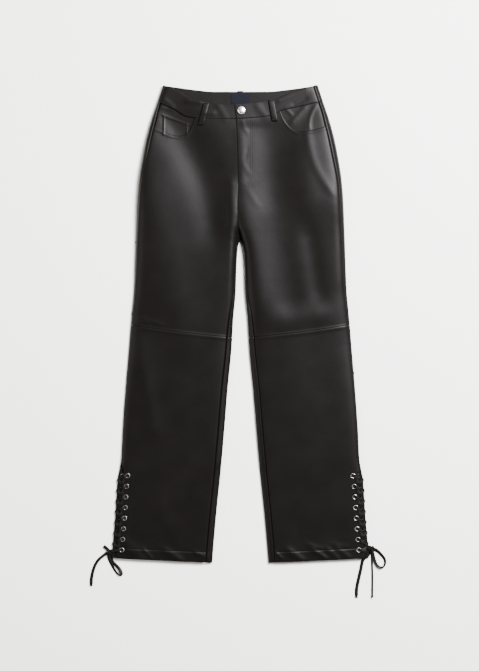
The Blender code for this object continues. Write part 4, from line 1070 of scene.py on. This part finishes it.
def eyelet_axes(side, front, own):
    """The cloth's two directions at an eyelet and the way out of its face, as rows."""
    if not front:
        return np.array([[1.0, 0, 0], [0, -1.0, 0], [0, 0, -1.0]])
    x, height, _ = own
    reach = SLOPE_REACH
    slope_x = side * float(front_z(side, x + reach, height) - front_z(side, x - reach, height)) / (2 * reach)
    slope_y = float(front_z(side, x, height + reach) - front_z(side, x, height - reach)) / (2 * reach)
    out = unit(np.array([-slope_x, -slope_y, 1.0]))
    right = unit(np.array([1.0, 0, slope_x]))
    return np.stack([right, np.cross(out, right), out])


ring_points, number = turned(EYELET_PROFILE, EYELET_SIDES)
after = np.roll(number, -1, axis=0)
faces = np.stack([number, after, np.roll(after, -1, 1), np.roll(number, -1, 1)], axis=-1)[..., ::-1]
ring_faces = faces.reshape(-1, 4).tolist()
drill, number = turned(((EYELET_HOLE, -DRILL_REACH), (EYELET_HOLE, DRILL_REACH)), EYELET_SIDES)
wall = np.stack([number[0], np.roll(number[0], -1), np.roll(number[1], -1), number[1]], axis=-1)
drill_faces = wall.tolist() + [number[0, ::-1].tolist(), number[1].tolist()]

for word, side in SIDES.items():
    for face, front in (("front", True), ("back", False)):
        drills, drills_faces = [], []
        for row in range(EYELETS):
            own = eyelet_place(side, front, row)
            axes, place = eyelet_axes(side, front, own), to_world(side, own)
            which = f"{face}_{word}_{row + 1}"
            ring = add_mesh(f"ring_{which}", ring_points @ axes + place, ring_faces, eyelet_metal)
            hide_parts(f"eyelet_{which}")
            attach(ring, "root")
            drills.append(drill @ axes + place)
            drills_faces += [[corner + number.size * row for corner in one] for one in drill_faces]
        holes = bpy.data.meshes.new("holes")
        holes.from_pydata(np.concatenate(drills).reshape(-1, 3), [], drills_faces)
        cutter = bpy.data.objects.new("holes", holes)
        bpy.context.scene.collection.objects.link(cutter)
        flap = bpy.data.objects[f"shin_{face}_{word}"]
        cut = flap.modifiers.new("holes", "BOOLEAN")
        cut.operation, cut.solver, cut.object = "DIFFERENCE", "MANIFOLD", cutter
        flap.data = bpy.data.meshes.new_from_object(flap.evaluated_get(bpy.context.evaluated_depsgraph_get()))
        flap.modifiers.clear()
        bpy.data.objects.remove(cutter)

# ---------------------------------------------------------------- the lacing
# One flat strip for each slit. It crosses between the flaps at the top, then both halves zigzag down: over
# the front flap's edge to the back eyelet below, round the back flap's edge to the front eyelet below that,
# and out of the lowest eyelets to a bow whose knot is a small tight turn of the strip round itself. On the
# left one half leaves from the last but one front eyelet instead, straight over to the knot.

KNOT = {RIGHT: (0.2860, 0.0231, 0.0043), LEFT: (0.2858, 0.0307, 0.0043)}
LACE_CLEAR = 0.0018  # the middle of a strip that lies over an eyelet's rim, above the cloth
LACE_DROP = 0.0030  # the middle of a strip that passes under a front flap, below its wall
# Width and thickness of the strip where it is drawn tight, in the knot and at the stub above the right one.
WEAVE_STRIP, KNOT_STRIP, STUB_STRIP = (0.0058, 0.0009), (0.0056, 0.0015), (0.0070, 0.0013)
KNOT_REACH, KNOT_DEPTH, KNOT_LIFT = 0.0060, 0.0020, 0.0010


def weave_route(side, knot):
    """The points (x, height, z) that one slit's strip passes, from its one end in the knot to its other."""
    pitch, ground = EYELET_PITCH, 0.0014

    def outer(height):
        return float(curve(OUTER, "edge", height))

    def on_front(inset, height, above=LACE_CLEAR):
        x = outer(height) - inset
        return x, height, float(front_z(side, x, height)) + above

    def front_out(row):
        """Up out of a front eyelet and over its rim on the side of the flap's edge."""
        height = EYELET_FIRST + pitch * row
        return [
            on_front(FRONT_EYELET_INSET - 0.0016, height - 0.0003, -0.0022),
            on_front(FRONT_EYELET_INSET - 0.0046, height - 0.0012),
        ]

    def front_under(row):
        return on_front(FRONT_EYELET_INSET + 0.0006, EYELET_FIRST + pitch * row, -WALL - LACE_DROP)

    def back_over(row):
        height = EYELET_FIRST + pitch * row
        return outer(height) - BACK_EYELET_INSET, height, BACK_FLAP_LIFT + WALL + 0.0022

    def back_under(row):
        x, height, _ = back_over(row)
        return x, height, ground

    def over_edge(row):
        """Up through a front eyelet, over the front flap's edge to the back eyelet below."""
        height = EYELET_FIRST + pitch * row
        step = height - 0.88 * pitch
        return [
            *front_out(row),
            on_front(0.0146, height - 0.42 * pitch, 0.0009),
            on_front(0.0104, height - 0.72 * pitch, 0.0012),
            (outer(step) - FRONT_FLAP_INSET + 0.0036, step, 0.0072),
            back_over(row - 1),
        ]

    def round_edge(row):
        """Under a back eyelet, round the back flap's edge and under the front flap to the eyelet below."""
        height = EYELET_FIRST + pitch * row
        steps = (
            (0.22, -0.0040, ground), (0.36, -0.0014, 0.0026), (0.46, -0.0016, 0.0054), (0.60, -0.0046, 0.0060),
        )
        bend = []
        for share, beyond, z in steps:
            step = height - share * pitch
            bend.append((outer(step) + beyond, step, z))
        return [back_under(row), *bend, front_under(row - 1)]

    def strand(starts_on_front):
        """One half of the strip, down from the top pair of eyelets."""
        points = []
        for row in range(EYELETS - 1, 0, -1):
            on_top = starts_on_front == ((EYELETS - 1 - row) % 2 == 0)
            points += over_edge(row) if on_top else round_edge(row)
        return points

    x, height, z = knot
    edge = outer(height)
    from_front = [
        *front_out(0), on_front(0.0100, EYELET_FIRST - 0.0006, 0.0013),
        (edge - 0.0050, height + 0.0030, 0.0086), (edge + 0.0004, height + 0.0016, 0.0074),
        (x - 0.0028, height + 0.0008, z + 0.0015),
    ]
    from_back = [
        back_under(0), (edge - 0.0040, height + 0.0012, ground), (x - 0.0028, height - 0.0004, z - 0.0012),
    ]
    first = strand(True) + from_back
    if side == LEFT:
        above = EYELET_FIRST + pitch
        first = strand(True)[:-4] + [
            on_front(0.0160, above - 0.0035, 0.0012), on_front(0.0112, above - 0.0072, 0.0013),
            (edge - 0.0050, height + 0.0088, 0.0098), (edge + 0.0008, height + 0.0048, 0.0088),
            (x - 0.0024, height + 0.0020, z + 0.0026),
        ]
    last = EYELET_FIRST + pitch * (EYELETS - 1)
    bar = [front_under(EYELETS - 1), (outer(last) - 0.0150, last, 0.0064), back_over(EYELETS - 1)]
    return np.array(first[::-1] + bar + strand(False) + from_front)


def level_across(path, reach):
    """For each point the level direction square to the path, where the path is looked at over a long reach
    so that its short drops through the eyelets don't count."""
    before = np.concatenate([np.repeat(path[:1], reach, axis=0), path[:-reach]])
    after = np.concatenate([path[reach:], np.repeat(path[-1:], reach, axis=0)])
    heading = (after - before) * [1, 1, 0]
    return unit(np.cross([0.0, 0.0, 1.0], unit(heading)))


for word, side in SIDES.items():
    path = to_world(side, smooth_route(weave_route(side, KNOT[side])))
    weave = add_strip(f"lacing_{word}", path, level_across(path, 4), *WEAVE_STRIP, lace_leather)
    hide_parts(f"lace_weave_{word}")
    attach(weave, "root")


def knot_path(middle, reach, depth):
    """A trefoil: the strip's path winds twice round the knot's middle and three times up and down."""
    t = np.linspace(0, 2 * math.pi, 90, endpoint=False)
    flat = np.stack([np.sin(t) + 2 * np.sin(2 * t), 1.25 * (np.cos(t) - 2 * np.cos(2 * t))], axis=-1)
    return np.concatenate([flat * reach / 3, -depth * np.sin(3 * t)[:, None]], axis=-1) + middle


knots = {}
for word, side in SIDES.items():
    path = knot_path(to_world(side, KNOT[side]) + [0, 0, KNOT_LIFT], KNOT_REACH, KNOT_DEPTH)
    across = np.cross(np.roll(path, -1, 0) - path, path - path.mean(axis=0))
    knot = add_strip(f"bow_knot_{word}", path, across, *KNOT_STRIP, lace_leather, closed=True)
    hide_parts(f"lace_knot_{word}")
    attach(knot, "root")
    knots[side] = knot

x, height, z = KNOT[RIGHT]
path = to_world(RIGHT, smooth_route([
    (x + 0.0018, height + 0.0035, 0.0046), (x + 0.0050, height + 0.0070, 0.0034),
    (x + 0.0127, height + 0.0135, 0.0026),
]))
stub = add_strip("bow_stub_right", path, level_across(path, 2), *STUB_STRIP, lace_leather)
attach(stub, "root")

for name, end in free_ends.items():
    knot = knots[end["side"]]

# ---------------------------------------------------------------- the sewing
# Black polyester thread in stitches 2.6 mm long. Each stitch rises out of the cloth and dives back.

STITCH_PITCH, STITCH_LONG, THREAD_RADIUS, THREAD_SIDES = 0.0033, 0.0026, 0.00030, 6
# How far each row of stitches lies in from its seam or edge.
EDGE_STITCH, MOUTH_STITCHES, FLY_GAP, KNEE_STITCH = 0.0022, (0.0022, 0.0076), 0.0046, 0.0026
PLACKET_STITCH, COIN_TOP_STITCHES, COIN_SIDE_STITCHES = 0.0345, (0.0026, 0.0068), (0.0022, 0.0064)
LOOP_STITCH, TACK_HALF, TACK_PITCH, LABEL_STITCH = 0.0038, 0.0045, 0.0006, 0.0014
thread, shader = new_material("black thread", (0.0042, 0.0040, 0.0043), 0.55)
shader.inputs["Specular IOR Level"].default_value = 0.08


def sew(name, side, lines, z_of, out=1):
    """Stitches along lines of (x, height). z_of gives the cloth's face at a place, and out is -1 where that
    face looks down. A stitch is a closed spindle of six rings: thin where it dives, full where it lies on
    the cloth."""
    starts, headings = [], []
    for line in lines:
        way = smooth_route(np.column_stack([np.array(line, float), np.zeros(len(line))]), STITCH_PITCH)[:, :2]
        starts.append(way[:-1])
        headings.append(np.diff(way, axis=0) / STITCH_PITCH)
    start, heading = np.concatenate(starts), np.concatenate(headings)
    share = np.array([0.0, 0.08, 0.3, 0.7, 0.92, 1.0])
    above = np.array([-0.6, 0.1, 0.75, 0.75, 0.1, -0.6]) * THREAD_RADIUS * out
    girth = np.array([0.35, 0.8, 1.0, 1.0, 0.8, 0.35]) * THREAD_RADIUS
    line = start[:, None] + heading[:, None] * (share * STITCH_LONG)[:, None]
    x, height = line[..., 0], line[..., 1]
    path = to_world(side, np.stack([x, height, z_of(x, height) + above], axis=-1))
    tangent = unit(np.gradient(path, axis=1))
    level = unit(np.cross([0.0, 0.0, 1.0], tangent))
    upright = np.cross(tangent, level)
    turn = np.linspace(0, 2 * math.pi, THREAD_SIDES, endpoint=False)
    ring = path[:, :, None] + girth[:, None, None] * (
        level[:, :, None] * np.cos(turn)[:, None] + upright[:, :, None] * np.sin(turn)[:, None]
    )
    number = np.arange(ring[..., 0].size).reshape(ring.shape[:3])
    first, second = number[:, :-1], number[:, 1:]
    around = np.stack([first, np.roll(first, -1, 2), np.roll(second, -1, 2), second], axis=-1).reshape(-1, 4)
    faces = around.tolist() + number[:, 0, ::-1].tolist() + number[:, -1].tolist()
    piece = add_mesh(name, ring, faces, thread)
    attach(piece, "root")


def along_height(x_of, foot, top, count=40):
    """Points (x, height) of a line that runs up the cloth."""
    height = np.linspace(foot, top, count)
    return np.stack([x_of(height), height], axis=-1)


def along_x(height_of, start, end, count=40):
    """Points (x, height) of a line that runs across the cloth."""
    x = np.linspace(start, end, count)
    return np.stack([x, height_of(x)], axis=-1)


def moved(line, distance):
    """A line shifted square to itself, to its left as it runs."""
    heading = unit(np.gradient(line, axis=0))
    return line + distance * np.stack([-heading[:, 1], heading[:, 0]], axis=-1)


FLY_STITCHES = (
    (0.0270, 0.9655), (0.0268, 0.9300), (0.0264, 0.8800), (0.0262, 0.8480), (0.0245, 0.8360), (0.0200, 0.8270),
    (0.0120, 0.8218), (0.0035, 0.8200),
)
for word, side in SIDES.items():
    mouth = along_x(lambda x: curve(POCKET_MOUTH[side], "height", x), 0.190, 0.105 if side == RIGHT else 0.092)
    placket = along_height(lambda height: curve(OUTER, "edge", height) - PLACKET_STITCH, 0.030, 0.222)
    hem = along_x(lambda x: curve(HEM, "height", x) + HEM_DEPTH, 0.078, 0.262)
    knee = along_x(lambda x: curve(KNEE, "height", x) - KNEE_STITCH, 0.034, 0.232)
    lines = [*(moved(mouth, inset) for inset in MOUTH_STITCHES), placket, hem, knee]
    if side == LEFT:
        fly = np.array(FLY_STITCHES)
        lines += [fly, moved(fly, -FLY_GAP)]
    sew(f"stitches_front_{word}", side, lines, lambda x, height: front_z(side, x, height))
    seam = along_x(lambda x: curve(FRONT_SEAM[side], "height", x) + EDGE_STITCH, 0.004, 0.176)
    edge = along_x(lambda x: curve(FRONT_EDGE[side], "height", x) - EDGE_STITCH, 0.004, 0.164)
    sew(
        f"stitches_band_{word}", side, [seam, edge],
        lambda x, height: front_z(side, x, height) + WAISTBAND_PROUD,
    )

seam = along_x(lambda x: curve(BACK_SEAM, "height", np.abs(x)) + EDGE_STITCH, -0.168, 0.168, 90)
edge = along_x(lambda x: curve(BACK_EDGE, "height", np.abs(x)) - EDGE_STITCH, -0.164, 0.164, 90)
sew("stitches_band_inside", LEFT, [seam, edge], inside_band_z)

coin_inner, coin_outer = COIN_POCKET_EDGE["x"]
coin_lines = [
    along_x(lambda x: curve(COIN_POCKET_EDGE, "height", x) - inset, coin_inner + 0.003, coin_outer - 0.003)
    for inset in COIN_TOP_STITCHES
]
for inset in COIN_SIDE_STITCHES:
    for x, top in ((coin_inner + inset, 0.953), (coin_outer - inset, 0.970)):
        coin_lines.append(along_height(lambda height: x + 0 * height, COIN_POCKET_FOOT + 0.002, top))
sew("stitches_coin_pocket", RIGHT, coin_lines, lambda x, height: front_z(RIGHT, x, height) - LAYER)

for word, side in SIDES.items():
    (foot_x, foot), (top_x, top) = FRONT_LOOPS[side]["foot"], FRONT_LOOPS[side]["top"]

    def loop_x(height):
        return foot_x + (top_x - foot_x) * (height - foot) / (top - foot)

    def loop_z(x, height):
        share = np.clip((height - foot) / (top - foot), 0, 1)
        rise = LOOP_ROOM * np.sqrt(1 - (2 * share - 1) ** 4)
        return front_z(side, x, height) + WAISTBAND_PROUD + SEAM + LOOP_WALL + rise

    middle = along_height(loop_x, foot + 0.002, top - 0.002)
    tacks = [
        middle[[at, at]] + [[-TACK_HALF, TACK_PITCH * row], [TACK_HALF, TACK_PITCH * row]]
        for at in (1, -2) for row in (-1, 0, 1)
    ]
    rows = [moved(middle, LOOP_STITCH), moved(middle, -LOOP_STITCH), *tacks]
    sew(f"stitches_loop_{word}", side, rows, loop_z)

label_end = LABEL_WIDTH / 2 - LABEL_STITCH
ends = [
    along_height(lambda height: x + 0 * height, LABEL_FOOT + 0.002, LABEL_TOP - 0.002)
    for x in (-label_end, label_end)
]
sew("stitches_label", LEFT, ends, lambda x, height: inside_band_z(x, height) + SEAM + LABEL_WALL)

for word, side in SIDES.items():
    hem = along_x(lambda x: curve(HEM, "height", x) + HEM_DEPTH, 0.074, 0.262)
    knee = along_x(lambda x: curve(KNEE, "height", x) - KNEE_STITCH, 0.030, 0.228)
    sew(
        f"stitches_back_{word}", side, [hem, knee],
        lambda x, height: back_z(side, x, height) + THREAD_RADIUS, out=-1,
    )
